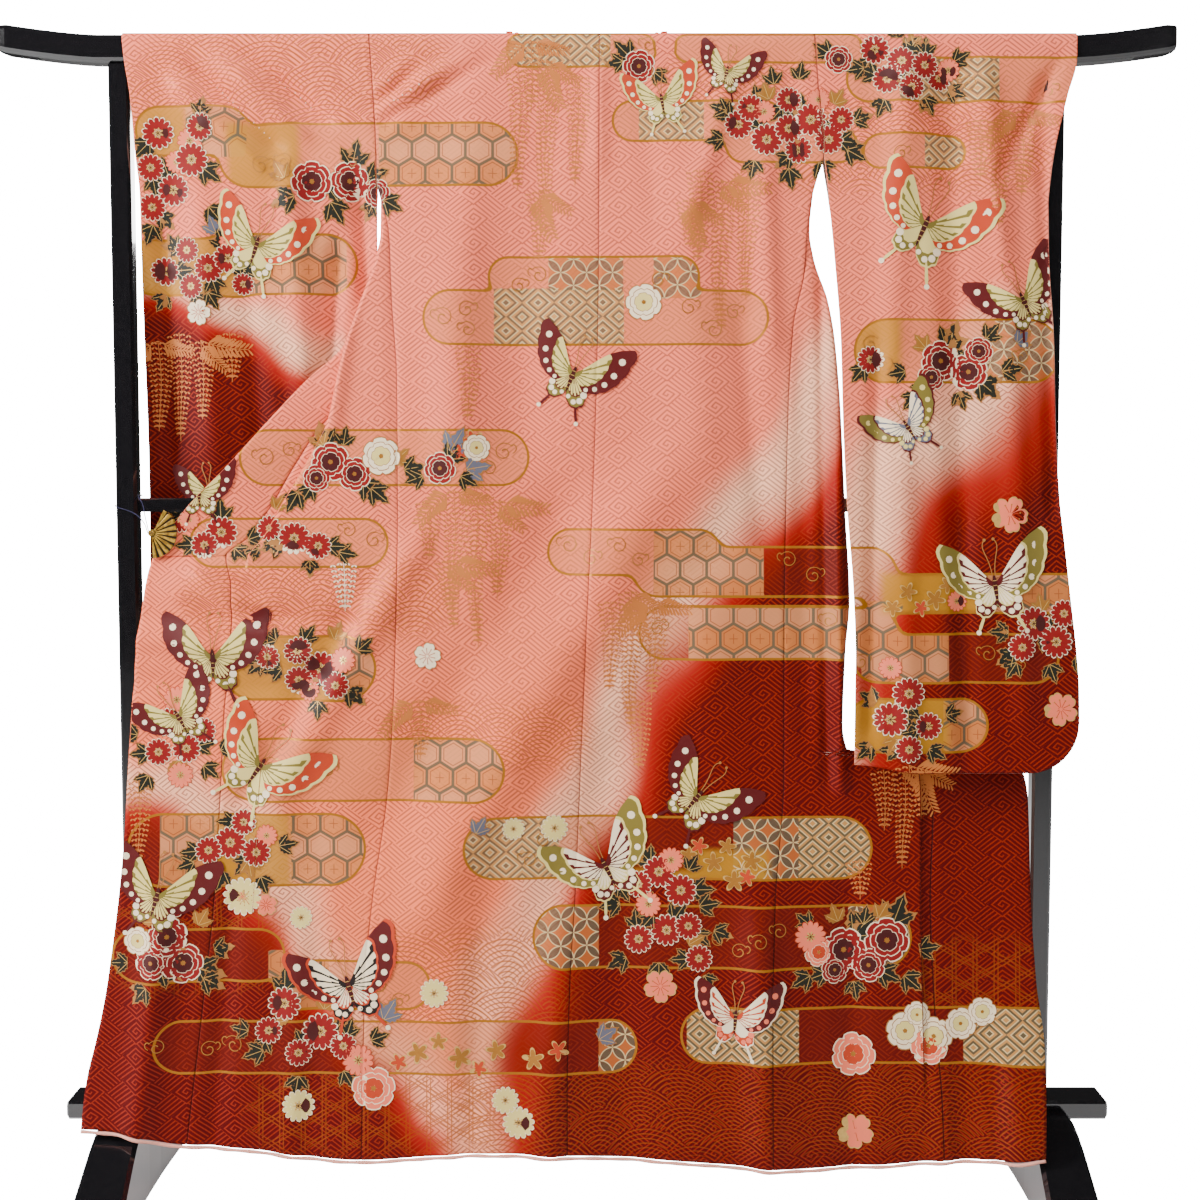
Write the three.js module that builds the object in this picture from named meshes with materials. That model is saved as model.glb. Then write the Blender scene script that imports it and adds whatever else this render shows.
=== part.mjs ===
import * as THREE from 'three';

// A furisode hung over the rail of a lacquered kimono stand, its back to the viewer. Millimetres, +Z up,
// +X to the viewer's right, +Y away from the viewer, and the floor at z = 0. Names say left and right
// as the viewer sees them. Heights in the tables are those of the cloth, from the rail to the hem.

const wall = 2; // thickness of the lined cloth
const seamGap = 0.3; // between pieces that are sewn or joined
const halfGap = seamGap / 2;

const rail = { halfLength: 836, bottom: 1638, top: 1679, halfDepth: 20, round: 12, sweepFrom: 696, rise: 16 };
const upright = { x: 665, half: 15, bevel: 4 };
const midRail = { bottom: 1002, top: 1022, half: 10 };
const board = { halfLength: 765, halfDepth: 33, bottom: 110, top: 138, bevel: 4 };
const foot = { x: 675, halfLength: 280, topWidth: 62, toeWidth: 84, top: 124, toe: 20, flat: 36, bevel: 6 };
const fan = { x: -619, z: 973, y: -50.3, inner: 6, outer: 36, from: 50, to: -88, thick: 2.4, gap: 3 };
const fanPin = { radius: 5, length: 13 };
const threadRadius = 0.7;
const hemRollRadius = 2.5;

// The cloth hangs from the front of the rail and leans forward to clear the board and the feet.
const hang = { start: 22, lean: 88, power: 1.25, from: 1680, length: 1600 };
const behindRail = 21.5; // middle of the cloth that hangs down behind the rail
const cornerPush = { x: 500, overX: 130, z: 330, overZ: 230, depth: 42 }; // hem corner over the right foot
const rightSleeveHang = { start: 22, lean: 88, power: 1.2, length: 1040 };
const leftSleeveHang = { start: 22, back: 41, length: 580 };
const neckHalf = 95;
const neckCorner = 9;
const clipHold = { y: -52.5, full: 45, over: 60 }; // the cloth lies level in the clip

// Large soft folds of the body: a ridge towards the viewer runs between two places.
const bodyFolds = [
  { fromX: -205, fromZ: 1665, toX: -262, toZ: 1560, half: 16, depth: 4 },
  { fromX: 345, fromZ: 1180, toX: 350, toZ: 760, half: 20, depth: 7 },
  { fromX: 305, fromZ: 1240, toX: 312, toZ: 700, half: 15, depth: -3 },
  { fromX: -585, fromZ: 950, toX: -300, toZ: 870, half: 22, depth: 6 },
  { fromX: -590, fromZ: 930, toX: -330, toZ: 720, half: 24, depth: 6 },
  { fromX: -600, fromZ: 910, toX: -430, toZ: 560, half: 22, depth: 5 },
  { fromX: -640, fromZ: 855, toX: -450, toZ: 850, half: 14, depth: -5 },
  { fromX: -645, fromZ: 760, toX: -420, toZ: 750, half: 16, depth: -5 },
  { fromX: -230, fromZ: 1450, toX: -120, toZ: 700, half: 38, depth: 5 },
  { fromX: -110, fromZ: 1300, toX: 60, toZ: 500, half: 45, depth: -5 },
  { fromX: 90, fromZ: 1500, toX: 190, toZ: 620, half: 40, depth: 4 },
  { fromX: -610, fromZ: 420, toX: -640, toZ: 60, half: 30, depth: 8 },
  { fromX: -400, fromZ: 480, toX: -420, toZ: 60, half: 36, depth: -8 },
  { fromX: -200, fromZ: 520, toX: -180, toZ: 60, half: 44, depth: 8 },
  { fromX: 40, fromZ: 460, toX: 60, toZ: 60, half: 40, depth: -7 },
  { fromX: 250, fromZ: 500, toX: 290, toZ: 60, half: 42, depth: 8 },
  { fromX: 545, fromZ: 560, toX: 560, toZ: 60, half: 36, depth: -7 },
];
const sleeveFolds = [
  { fromX: 352, fromZ: 1670, toX: 392, toZ: 1540, half: 12, depth: 5 },
  { fromX: 470, fromZ: 1600, toX: 500, toZ: 760, half: 40, depth: 5 },
  { fromX: 620, fromZ: 1560, toX: 610, toZ: 700, half: 30, depth: -5 },
  { fromX: -480, fromZ: 1600, toX: -470, toZ: 700, half: 46, depth: 5 },
  { fromX: -600, fromZ: 1600, toX: -590, toZ: 700, half: 30, depth: -4 },
];

// Height of the hem below each place across the garment.
const hemLine = [
  { x: -722, z: 124 }, { x: -650, z: 119 }, { x: -590, z: 104 }, { x: -473, z: 95 }, { x: -401, z: 85 },
  { x: -321, z: 80 }, { x: -165, z: 90 }, { x: -34, z: 87 }, { x: 98, z: 80 }, { x: 304, z: 70 },
  { x: 400, z: 72 }, { x: 500, z: 81 }, { x: 590, z: 88 }, { x: 645, z: 98 },
];
const nominalHem = 80;
const hemBlend = { from: 300, over: 220 };

// Places where the body's pieces meet, and its free edges, by height.
const leftBackEdge = [
  { z: 1680, x: -308 }, { z: 1590, x: -302 }, { z: 1535, x: -299 }, { z: 1472, x: -297 }, { z: 1400, x: -281 },
  { z: 1300, x: -277 }, { z: 1189, x: -270 }, { z: 940, x: -269 }, { z: 803, x: -273 }, { z: 700, x: -277 },
  { z: 593, x: -286 }, { z: 448, x: -306 }, { z: 338, x: -316 }, { z: 80, x: -322 },
];
const centreSeam = [
  { z: 1680, x: 18 }, { z: 1364, x: 17 }, { z: 1189, x: 14 }, { z: 1010, x: 8 }, { z: 803, x: -2 },
  { z: 593, x: -11 }, { z: 448, x: -17 }, { z: 338, x: -24 }, { z: 170, x: -28 }, { z: 80, x: -28 },
];
const rightBackEdge = [
  { z: 1680, x: 322 }, { z: 1590, x: 329 }, { z: 1509, x: 336 }, { z: 1472, x: 326 }, { z: 1441, x: 318 },
  { z: 1400, x: 313 }, { z: 1344, x: 309 }, { z: 1265, x: 293 }, { z: 1136, x: 286 }, { z: 803, x: 281 },
  { z: 630, x: 281 }, { z: 448, x: 268 }, { z: 300, x: 264 }, { z: 80, x: 265 },
];
const levels = [
  1650, 1640, 1590, 1535, 1509, 1472, 1436, 1400, 1364, 1300, 1241, 1189, 1136, 1067, 1010, 965, 940, 915, 874,
  803, 754, 700, 665, 655, 645, 630, 593, 520, 448, 338, 250, 170, nominalHem,
];

// The fronts in plan: from their side edge (inset from that of the back) out to the fold, back in to the
// tuck, and out again to the okumi seam. gap is the depth from one layer to the next.
const leftFrontPlan = [
  { z: 1680, inset: 12, fold: -305, tuck: -106, okumi: -115, gap: 2.4 },
  { z: 1640, inset: 11, fold: -302, tuck: -106, okumi: -116, gap: 2.4 },
  { z: 1590, inset: 10, fold: -300, tuck: -108, okumi: -119, gap: 5 },
  { z: 1535, inset: 10, fold: -297, tuck: -112, okumi: -128, gap: 8 },
  { z: 1472, inset: 10, fold: -295, tuck: -117, okumi: -150, gap: 8 },
  { z: 1436, inset: 0, fold: -292, tuck: -120, okumi: -161, gap: 8 },
  { z: 1400, inset: 0, fold: -292, tuck: -124, okumi: -172, gap: 8 },
  { z: 1364, inset: 0, fold: -299, tuck: -129, okumi: -184, gap: 8 },
  { z: 1300, inset: 0, fold: -322, tuck: -165, okumi: -206, gap: 8 },
  { z: 1241, inset: 0, fold: -343, tuck: -198, okumi: -228, gap: 8 },
  { z: 1189, inset: 0, fold: -356, tuck: -242, okumi: -290, gap: 8 },
  { z: 1136, inset: 0, fold: -367, tuck: -295, okumi: -370, gap: 8 },
  { z: 1067, inset: 0, fold: -402, tuck: -354, okumi: -419, gap: 8 },
  { z: 1010, inset: 0, fold: -436, tuck: -405, okumi: -452, gap: 7 },
  { z: 965, inset: 0, fold: -461, tuck: -448, okumi: -485, gap: 5 },
  { z: 940, inset: 0, fold: -479, tuck: -482, okumi: -514, gap: 2.5 },
  { z: 915, inset: 0, fold: -462, tuck: -484, okumi: -509, gap: 0.4 },
  { z: 874, inset: 0, fold: -452, tuck: -478, okumi: -505, gap: 0 },
  { z: 700, inset: 0, fold: -460, tuck: -488, okumi: -517, gap: 0 },
  { z: 593, inset: 0, fold: -468, tuck: -496, okumi: -523, gap: 0 },
  { z: 448, inset: 0, fold: -476, tuck: -504, okumi: -532, gap: 0 },
  { z: 338, inset: 0, fold: -488, tuck: -516, okumi: -544, gap: 0 },
  { z: 80, inset: 0, fold: -512, tuck: -541, okumi: -571, gap: 0 },
];
const rightFrontPlan = [
  { z: 1680, inset: 11, fold: 320, tuck: 106, okumi: 115, gap: 2.4 },
  { z: 1640, inset: 11, fold: 323, tuck: 107, okumi: 116, gap: 2.4 },
  { z: 1590, inset: 11, fold: 327, tuck: 112, okumi: 122, gap: 5 },
  { z: 1535, inset: 11, fold: 331, tuck: 122, okumi: 134, gap: 8 },
  { z: 1472, inset: 10, fold: 325, tuck: 135, okumi: 148, gap: 8 },
  { z: 1400, inset: 5, fold: 317, tuck: 150, okumi: 162, gap: 8 },
  { z: 1364, inset: 0, fold: 322, tuck: 158, okumi: 170, gap: 8 },
  { z: 1300, inset: 0, fold: 343, tuck: 172, okumi: 184, gap: 8 },
  { z: 1241, inset: 0, fold: 353, tuck: 182, okumi: 194, gap: 8 },
  { z: 1136, inset: 0, fold: 361, tuck: 195, okumi: 207, gap: 8 },
  { z: 1010, inset: 0, fold: 367, tuck: 204, okumi: 216, gap: 8 },
  { z: 874, inset: 0, fold: 374, tuck: 212, okumi: 224, gap: 8 },
  { z: 803, inset: 0, fold: 368, tuck: 206, okumi: 218, gap: 8 },
  { z: 700, inset: 0, fold: 364, tuck: 202, okumi: 215, gap: 8 },
  { z: 665, inset: 0, fold: 371, tuck: 216, okumi: 236, gap: 7 },
  { z: 655, inset: 0, fold: 430, tuck: 330, okumi: 356, gap: 6 },
  { z: 645, inset: 0, fold: 463, tuck: 422, okumi: 450, gap: 5 },
  { z: 630, inset: 0, fold: 474, tuck: 454, okumi: 487, gap: 4 },
  { z: 593, inset: 0, fold: 476, tuck: 459, okumi: 495, gap: 3.2 },
  { z: 448, inset: 0, fold: 476, tuck: 464, okumi: 491, gap: 3.2 },
  { z: 338, inset: 0, fold: 478, tuck: 470, okumi: 495, gap: 3 },
  { z: 250, inset: 0, fold: 480, tuck: 475, okumi: 500, gap: 2 },
  { z: 170, inset: 0, fold: 482, tuck: 486, okumi: 506, gap: 0.8 },
  { z: 80, inset: 0, fold: 478, tuck: 492, okumi: 509, gap: 0 },
];

// Free edges of the collar and the okumi. back is how far behind the hang of the body they lie.
const leftCollarEdge = [
  { z: 1650, x: -63.5, drop: 53, back: 49 }, { z: 1640, x: -64, drop: 54, back: 54 },
  { z: 1590, x: -76, drop: 48, back: 74 }, { z: 1535, x: -112, drop: 38, back: 84 },
  { z: 1472, x: -185, drop: 22, back: 78 }, { z: 1400, x: -262, drop: 5, back: 48 },
  { z: 1364, x: -297, drop: 0, back: 28 }, { z: 1300, x: -321, drop: 0, back: 17 },
  { z: 1241, x: -346, drop: 0, back: 14 }, { z: 1189, x: -401, drop: 0, back: 10 },
  { z: 1136, x: -451, drop: 0, back: 7 }, { z: 1067, x: -514, drop: 0, back: 4 },
  { z: 1010, x: -569, drop: 0, back: 2.2 }, { z: 965, x: -603, drop: 0, back: 2.2 },
  { z: 940, x: -618, drop: 0, back: 2.2 },
];
const rightCollarEdge = [
  { z: 1650, x: 63.5, drop: 53, back: 49 }, { z: 1640, x: 64, drop: 54, back: 54 },
  { z: 1590, x: 76, drop: 46, back: 74 }, { z: 1535, x: 105, drop: 38, back: 80 },
  { z: 1472, x: 158, drop: 22, back: 76 }, { z: 1400, x: 211, drop: 6, back: 58 },
  { z: 1364, x: 230, drop: 2, back: 44 }, { z: 1300, x: 259, drop: 0, back: 24 },
  { z: 1241, x: 283, drop: 0, back: 19 }, { z: 1136, x: 321, drop: 0, back: 18 },
  { z: 1010, x: 349, drop: 0, back: 18 }, { z: 874, x: 364, drop: 0, back: 18 },
  { z: 803, x: 364, drop: 0, back: 18 },
];
const leftOkumiEdge = [
  { z: 940, x: -618, drop: 0, back: 2.2 }, { z: 915, x: -626, drop: 0, back: 1.5 },
  { z: 803, x: -642, drop: 0, back: 0 }, { z: 665, x: -652, drop: 0, back: 0 },
  { z: 520, x: -661, drop: 0, back: 0 }, { z: 338, x: -683, drop: 0, back: 0 },
  { z: 250, x: -699, drop: 0, back: 0 }, { z: 170, x: -713, drop: 0, back: 0 },
  { z: 80, x: -722, drop: 0, back: 0 },
];
const rightOkumiEdge = [
  { z: 1400, x: 170, drop: 0, back: 26 }, { z: 1364, x: 184, drop: 0, back: 20 },
  { z: 1300, x: 213, drop: 0, back: 17 }, { z: 1241, x: 237, drop: 0, back: 17 },
  { z: 1136, x: 277, drop: 0, back: 17 }, { z: 1010, x: 305, drop: 0, back: 17 },
  { z: 874, x: 322, drop: 0, back: 17 }, { z: 803, x: 338, drop: 0, back: 17 },
  { z: 700, x: 350, drop: 0, back: 17 }, { z: 665, x: 360, drop: 0, back: 16 },
  { z: 655, x: 478, drop: 0, back: 13 }, { z: 645, x: 580, drop: 0, back: 10 },
  { z: 630, x: 624, drop: 0, back: 6 }, { z: 593, x: 630, drop: 0, back: 4 },
  { z: 448, x: 634, drop: 0, back: 2 }, { z: 338, x: 641, drop: 0, back: 0 },
  { z: 250, x: 650, drop: 0, back: 0 }, { z: 80, x: 645, drop: 0, back: 0 },
];

// The garment's two halves. The front joins the hang of the back at frontJoin, the okumi starts at
// okumiTop, the collar ends at collarEnd, and both come out where they show below foldedBelow.
const leftHalf = {
  side: -1, backEdge: leftBackEdge, plan: leftFrontPlan, frontJoin: 1400, okumiEdge: leftOkumiEdge,
  okumiTop: 940, collarEdge: leftCollarEdge, collarEnd: 940, foldedBelow: 1400,
};
const rightHalf = {
  side: 1, backEdge: rightBackEdge, plan: rightFrontPlan, frontJoin: 1320, okumiEdge: rightOkumiEdge,
  okumiTop: 1400, collarEdge: rightCollarEdge, collarEnd: 803, foldedBelow: 665,
};

// The long sleeves: inner edge, outer edge of the layer that shows, and of the layer behind it.
const rightSleeve = [
  { z: 1680, inner: 322, outer: 694, rear: 640 }, { z: 1640, inner: 325, outer: 693, rear: 640 },
  { z: 1590, inner: 329, outer: 680, rear: 640 }, { z: 1509, inner: 336, outer: 662, rear: 640 },
  { z: 1455, inner: 342, outer: 656, rear: 643 }, { z: 1440, inner: 343, outer: 655, rear: 655 },
  { z: 1365, inner: 350, outer: 656, rear: 656 }, { z: 1246, inner: 359, outer: 662, rear: 662 },
  { z: 1130, inner: 362, outer: 664, rear: 664 }, { z: 1017, inner: 367, outer: 669, rear: 669 },
  { z: 892, inner: 376, outer: 681, rear: 681 }, { z: 803, inner: 379, outer: 690, rear: 690 },
  { z: 750, inner: 378, outer: 693, rear: 693 }, { z: 637, inner: 376, outer: 693, rear: 693 },
];
const leftSleeve = [
  { z: 1680, inner: -308, outer: -658, rear: -656 }, { z: 1640, inner: -305, outer: -654, rear: -652 },
  { z: 1590, inner: -302, outer: -647, rear: -645 }, { z: 1509, inner: -299, outer: -642, rear: -640 },
  { z: 1455, inner: -298, outer: -638, rear: -637 }, { z: 1440, inner: -299, outer: -638, rear: -638 },
  { z: 1246, inner: -303, outer: -640, rear: -640 }, { z: 1017, inner: -306, outer: -639, rear: -639 },
  { z: 803, inner: -310, outer: -641, rear: -641 }, { z: 637, inner: -312, outer: -641, rear: -641 },
];
const sewnTo = 1509; // the sleeves' seam to the body
const sleeveBottom = { z: 637, inRise: 12, corner: 72, blendFrom: 760 };
const sleeveBag = { cuff: 1450, gap: 20, seam: wall + seamGap, roundOut: 0.16, roundUp: 90 };
const sleeveLevels = [1650, 1640, 1590, 1535, 1509, 1472, 1440, 1400, 1300, 1180, 1060, 960, 860, 800, 760];
const sleeveBottomSteps = [0.3, 0.6, 0.84, 1];
const sleeveColumns = [0, 0.13, 0.28, 0.43, 0.58, 0.72, 0.84, 0.92, 0.97, 1];

const clamp = (t, low, high) => Math.min(high, Math.max(low, t));
const mix = (a, b, t) => a + (b - a) * t;
const smooth = (t) => {
  const s = clamp(t, 0, 1);
  return s * s * (3 - 2 * s);
};

// Reads a column of a table at a place along its key column, on a curve that never overshoots a row.
function read(table, column, at, key = 'z') {
  const rows = [...table].sort((a, b) => a[key] - b[key]);
  const last = rows.length - 1;
  if (at <= rows[0][key]) return rows[0][column];
  if (at >= rows[last][key]) return rows[last][column];
  let i = 0;
  while (rows[i + 1][key] < at) i += 1;
  const slope = (j) => (rows[j + 1][column] - rows[j][column]) / (rows[j + 1][key] - rows[j][key]);
  const tangent = (j) => {
    if (j === 0) return slope(0);
    if (j === last) return slope(last - 1);
    const before = slope(j - 1);
    const after = slope(j);
    return before * after <= 0 ? 0 : (2 * before * after) / (before + after);
  };
  const step = rows[i + 1][key] - rows[i][key];
  const t = (at - rows[i][key]) / step;
  const a = rows[i][column];
  const b = rows[i + 1][column];
  const ease = t * t * (3 - 2 * t);
  return mix(a, b, ease) + step * t * (1 - t) * ((1 - t) * tangent(i) - t * tangent(i + 1));
}

// Height of a soft fold at a place: round across its line, and fading out past both ends.
function foldAt(fold, x, z) {
  const length = Math.hypot(fold.toX - fold.fromX, fold.toZ - fold.fromZ);
  const alongX = (fold.toX - fold.fromX) / length;
  const alongZ = (fold.toZ - fold.fromZ) / length;
  const along = (x - fold.fromX) * alongX + (z - fold.fromZ) * alongZ;
  const across = (x - fold.fromX) * alongZ - (z - fold.fromZ) * alongX;
  const past = Math.max(0, -along, along - length);
  return fold.depth * Math.exp(-((across / fold.half) ** 2) - (past / (2.5 * fold.half)) ** 2);
}
const foldsAt = (folds, x, z) => folds.reduce((sum, fold) => sum + foldAt(fold, x, z), 0);

// Y of the body's cloth where it hangs in front of the rail, with none, some or all of its folds.
function hangY(x, z, folded = 1) {
  const drop = Math.max(0, hang.from - z) / hang.length;
  const corner = smooth((x - cornerPush.x) / cornerPush.overX) * smooth((cornerPush.z - z) / cornerPush.overZ);
  const folds = folded * smooth(drop * 20) * foldsAt(bodyFolds, x, z);
  const y = -hang.start - hang.lean * drop ** hang.power - cornerPush.depth * corner - folds;
  const fromClip = Math.hypot(x - fan.x, z - fan.z);
  return mix(clipHold.y, y, smooth((fromClip - clipHold.full) / clipHold.over));
}

// A level lowered to the hem line as it nears the hem.
function levelZ(level, x) {
  const blend = smooth((hemBlend.from - level) / hemBlend.over);
  return level + (read(hemLine, 'z', x, 'x') - nominalHem) * blend;
}

// A place on cloth laid over the rail: s is the length from the ridge, towards the viewer if positive.
function overRail(s, lift = 0) {
  const side = -Math.sign(s);
  const flat = rail.halfDepth - rail.round;
  const radius = rail.round + behindRail - rail.halfDepth;
  const arc = (radius * Math.PI) / 2;
  const run = Math.abs(s);
  if (run <= flat) return { y: side * run, z: rail.top - rail.round + radius + lift };
  const angle = Math.min(Math.PI / 2, (run - flat) / radius);
  return {
    y: side * (flat + (radius + lift) * Math.sin(angle)),
    z: rail.top - rail.round + (radius + lift) * Math.cos(angle) - Math.max(0, run - flat - arc),
  };
}
const ridgeSteps = [halfGap, 8, 13.3, 18.6, 23.9, 29.2];

// A closed wall of cloth about a grid of points, half its thickness to each side.
function clothSolid(grid, thickness = wall) {
  const rows = grid.length;
  const columns = grid[0].length;
  const positions = [];
  const sides = [0.5, -0.5];
  for (const side of sides) {
    for (let r = 0; r < rows; r += 1) {
      for (let c = 0; c < columns; c += 1) {
        const down = grid[Math.min(r + 1, rows - 1)][c].clone().sub(grid[Math.max(r - 1, 0)][c]);
        const over = grid[r][Math.min(c + 1, columns - 1)].clone().sub(grid[r][Math.max(c - 1, 0)]);
        const normal = over.cross(down).normalize();
        const point = grid[r][c].clone().addScaledVector(normal, side * thickness);
        positions.push(point.x, point.y, point.z);
      }
    }
  }
  const at = (side, r, c) => (side * rows + r) * columns + c;
  const index = [];
  const quad = (a, b, c, d) => index.push(a, b, c, a, c, d);
  for (let r = 0; r < rows - 1; r += 1) {
    for (let c = 0; c < columns - 1; c += 1) {
      quad(at(0, r, c), at(0, r, c + 1), at(0, r + 1, c + 1), at(0, r + 1, c));
      quad(at(1, r, c), at(1, r + 1, c), at(1, r + 1, c + 1), at(1, r, c + 1));
    }
  }
  for (let r = 0; r < rows - 1; r += 1) {
    const c = columns - 1;
    quad(at(0, r, 0), at(0, r + 1, 0), at(1, r + 1, 0), at(1, r, 0));
    quad(at(0, r + 1, c), at(0, r, c), at(1, r, c), at(1, r + 1, c));
  }
  for (let c = 0; c < columns - 1; c += 1) {
    const r = rows - 1;
    quad(at(0, 0, c + 1), at(0, 0, c), at(1, 0, c), at(1, 0, c + 1));
    quad(at(0, r, c), at(0, r, c + 1), at(1, r, c + 1), at(1, r, c));
  }
  return closedGeometry(positions, index);
}

// A closed body from rings of as many points each, with a flat end on the first and the last.
function loft(rings) {
  const count = rings[0].length;
  const positions = rings.flat().flatMap((point) => [point.x, point.y, point.z]);
  const index = [];
  for (let r = 0; r < rings.length - 1; r += 1) {
    for (let i = 0; i < count; i += 1) {
      const j = (i + 1) % count;
      const a = r * count;
      index.push(a + i, a + j, a + count + j, a + i, a + count + j, a + count + i);
    }
  }
  const end = (rings.length - 1) * count;
  for (let i = 1; i < count - 1; i += 1) {
    index.push(0, i + 1, i, end, end + i, end + i + 1);
  }
  return closedGeometry(positions, index);
}

// Turns every face outwards if the volume comes out negative.
function closedGeometry(positions, index) {
  const geometry = new THREE.BufferGeometry();
  geometry.setAttribute('position', new THREE.Float32BufferAttribute(positions, 3));
  const corner = (i) => new THREE.Vector3().fromArray(positions, 3 * i);
  let volume = 0;
  for (let t = 0; t < index.length; t += 3) {
    volume += corner(index[t]).dot(corner(index[t + 1]).cross(corner(index[t + 2])));
  }
  const outward = [];
  for (let t = 0; t < index.length; t += 3) {
    outward.push(...(volume < 0 ? [index[t], index[t + 2], index[t + 1]] : index.slice(t, t + 3)));
  }
  geometry.setIndex(outward);
  geometry.computeVertexNormals();
  return geometry;
}

const point = (x, y, z) => new THREE.Vector3(x, y, z);

// A back panel from one edge to the other, its columns given by their x at the rail. Within the neck it
// runs on over the ridge to the neckline, which curves up to the shoulder over neckCorner.
function backPanel(leftEdge, rightEdge, stops) {
  const first = read(leftEdge, 'x', hang.from);
  const columns = stops.map((x) => (x - first) / (read(rightEdge, 'x', hang.from) - first));
  const across = (level, u) => mix(read(leftEdge, 'x', level) + halfGap, read(rightEdge, 'x', level) - halfGap, u);
  const neckRun = [-43.5, -29.2, -23.9, -18.6, -13.3, -8];
  const shoulderRun = [halfGap, 1.5, 2.8, 4.1, 5.4, 6.7];
  const grid = neckRun.map((run, row) => columns.map((u) => {
    const x = across(hang.from, u);
    const turn = clamp((Math.abs(x) - neckHalf) / neckCorner, 0, 1);
    const { y, z } = overRail(mix(run, shoulderRun[row], turn), 4 * Math.sin(Math.PI * turn));
    return point(x, y, z);
  }));
  for (const s of ridgeSteps.slice(1)) {
    const { y, z } = overRail(s);
    grid.push(columns.map((u) => point(across(z, u), y, z)));
  }
  for (const level of levels) {
    grid.push(columns.map((u) => {
      const x = across(level, u);
      const z = levelZ(level, x);
      return point(x, hangY(x, z), z);
    }));
  }
  return clothSolid(grid);
}

// Y of the front layer of a front panel: behind the rail at the top, then forward to the body's hang.
const frontY = (half, x, z, folded = 1) => (
  mix(behindRail, hangY(x, z, folded), smooth((1640 - z) / (1640 - half.frontJoin)))
);

// The stops of one level of a front panel, with round turns: x and the layer it lies in.
function zigzag(row) {
  const turn = Math.max(row.gap / 2, 1.6);
  const heading = (from, to) => clamp((to - from) / 6, -1, 1);
  const out = heading(row.seam, row.fold);
  const back = heading(row.fold, row.tuck);
  const on = heading(row.tuck, row.okumi);
  const stops = [
    { x: row.seam, layer: 0, steps: 4 },
    { x: row.fold - turn * out, layer: 0, steps: 1 },
    { x: row.fold, layer: 0.5, steps: 1 },
    { x: row.fold + turn * back, layer: 1, steps: 3 },
    { x: row.tuck - turn * back, layer: 1, steps: 1 },
    { x: row.tuck, layer: 1.5, steps: 1 },
    { x: row.tuck + turn * on, layer: 2, steps: 2 },
    { x: row.okumi, layer: 2, steps: 0 },
  ];
  return stops.flatMap((stop, i) => Array.from({ length: Math.max(1, stop.steps) }, (_, k) => {
    const next = stops[Math.min(i + 1, stops.length - 1)];
    const t = stop.steps ? k / stop.steps : 0;
    return { x: mix(stop.x, next.x, t), layer: mix(stop.layer, next.layer, t) };
  }));
}

// One level of a front's plan, with its side edge a seam's gap past the edge of the back.
function planRow(half, level) {
  const at = (name) => read(half.plan, name, level);
  const seam = read(half.backEdge, 'x', level) + half.side * (halfGap - at('inset'));
  return { seam, fold: at('fold'), tuck: at('tuck'), okumi: at('okumi'), gap: at('gap') };
}

function frontPanel(half) {
  const atRail = planRow(half, hang.from);
  const grid = ridgeSteps.map((s) => zigzag(atRail).map(({ x, layer }) => {
    const { y, z } = overRail(-s, layer * atRail.gap);
    return point(x, y, z);
  }));
  for (const level of levels) {
    const row = planRow(half, level);
    grid.push(zigzag(row).map(({ x, layer }) => {
      const z = levelZ(level, x);
      const folded = 1 - clamp(layer, 0, 1) * clamp(row.gap / 4, 0, 1);
      return point(x, frontY(half, x, z, folded) + layer * row.gap, z);
    }));
  }
  return clothSolid(grid);
}

// A strip from a seam out to a free edge, level by level. Each side is given by x, how far it drops below
// its level and how far it lies behind the hang of the body. It takes the body's folds where it shows.
function strip(half, stripLevels, seamAt, edgeAt, columns) {
  return clothSolid(stripLevels.map((level) => {
    const folded = smooth((half.foldedBelow - level) / 20);
    const seam = seamAt(level);
    const edge = edgeAt(level);
    return Array.from({ length: columns + 1 }, (_, i) => {
      const across = (name) => mix(seam[name], edge[name], i / columns);
      const z = levelZ(level, across('x')) - across('drop');
      return point(across('x'), hangY(across('x'), z, folded) + across('back'), z);
    });
  }));
}

const freeEdge = (table, level) => ({
  x: read(table, 'x', level), drop: read(table, 'drop', level), back: read(table, 'back', level),
});

// The okumi seam of a front, a seam's gap past its edge. Where the strip sewn to it twists away it lies
// behind the edge instead.
function okumiSeam(half, level) {
  const row = planRow(half, level);
  const twist = smooth((level - 1400) / 135);
  const slant = (read(half.plan, 'okumi', level + 3) - read(half.plan, 'okumi', level - 3)) / 6;
  const x = row.okumi + half.side * (seamGap * Math.hypot(1, slant) + 0.4 + 1.2 * twist);
  const z = levelZ(level, x);
  const back = frontY(half, x, z, 0) - hangY(x, z, 0) + 2 * row.gap + 2.8 * twist;
  return { x, drop: 0, back };
}

function collar(half) {
  const seam = (level) => {
    if (half.okumiTop <= half.collarEnd || level > half.okumiTop) return okumiSeam(half, level);
    const join = freeEdge(half.okumiEdge, level);
    const gap = level === half.okumiTop ? 1.6 : 0.8;
    return { ...join, x: join.x + half.side * gap };
  };
  const collarLevels = levels.filter((level) => level >= half.collarEnd);
  return strip(half, collarLevels, seam, (level) => freeEdge(half.collarEdge, level), 3);
}

// The left okumi starts where its collar ends, the right one runs up beside it.
function okumi(half) {
  const below = (level) => (level === half.collarEnd && level === half.okumiTop ? seamGap : 0);
  const lowered = (side, level) => ({ ...side, drop: side.drop + below(level) });
  const okumiLevels = levels.filter((level) => level <= half.okumiTop);
  return strip(
    half,
    okumiLevels,
    (level) => lowered(okumiSeam(half, level), level),
    (level) => lowered(freeEdge(half.okumiEdge, level), level),
    5,
  );
}

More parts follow.
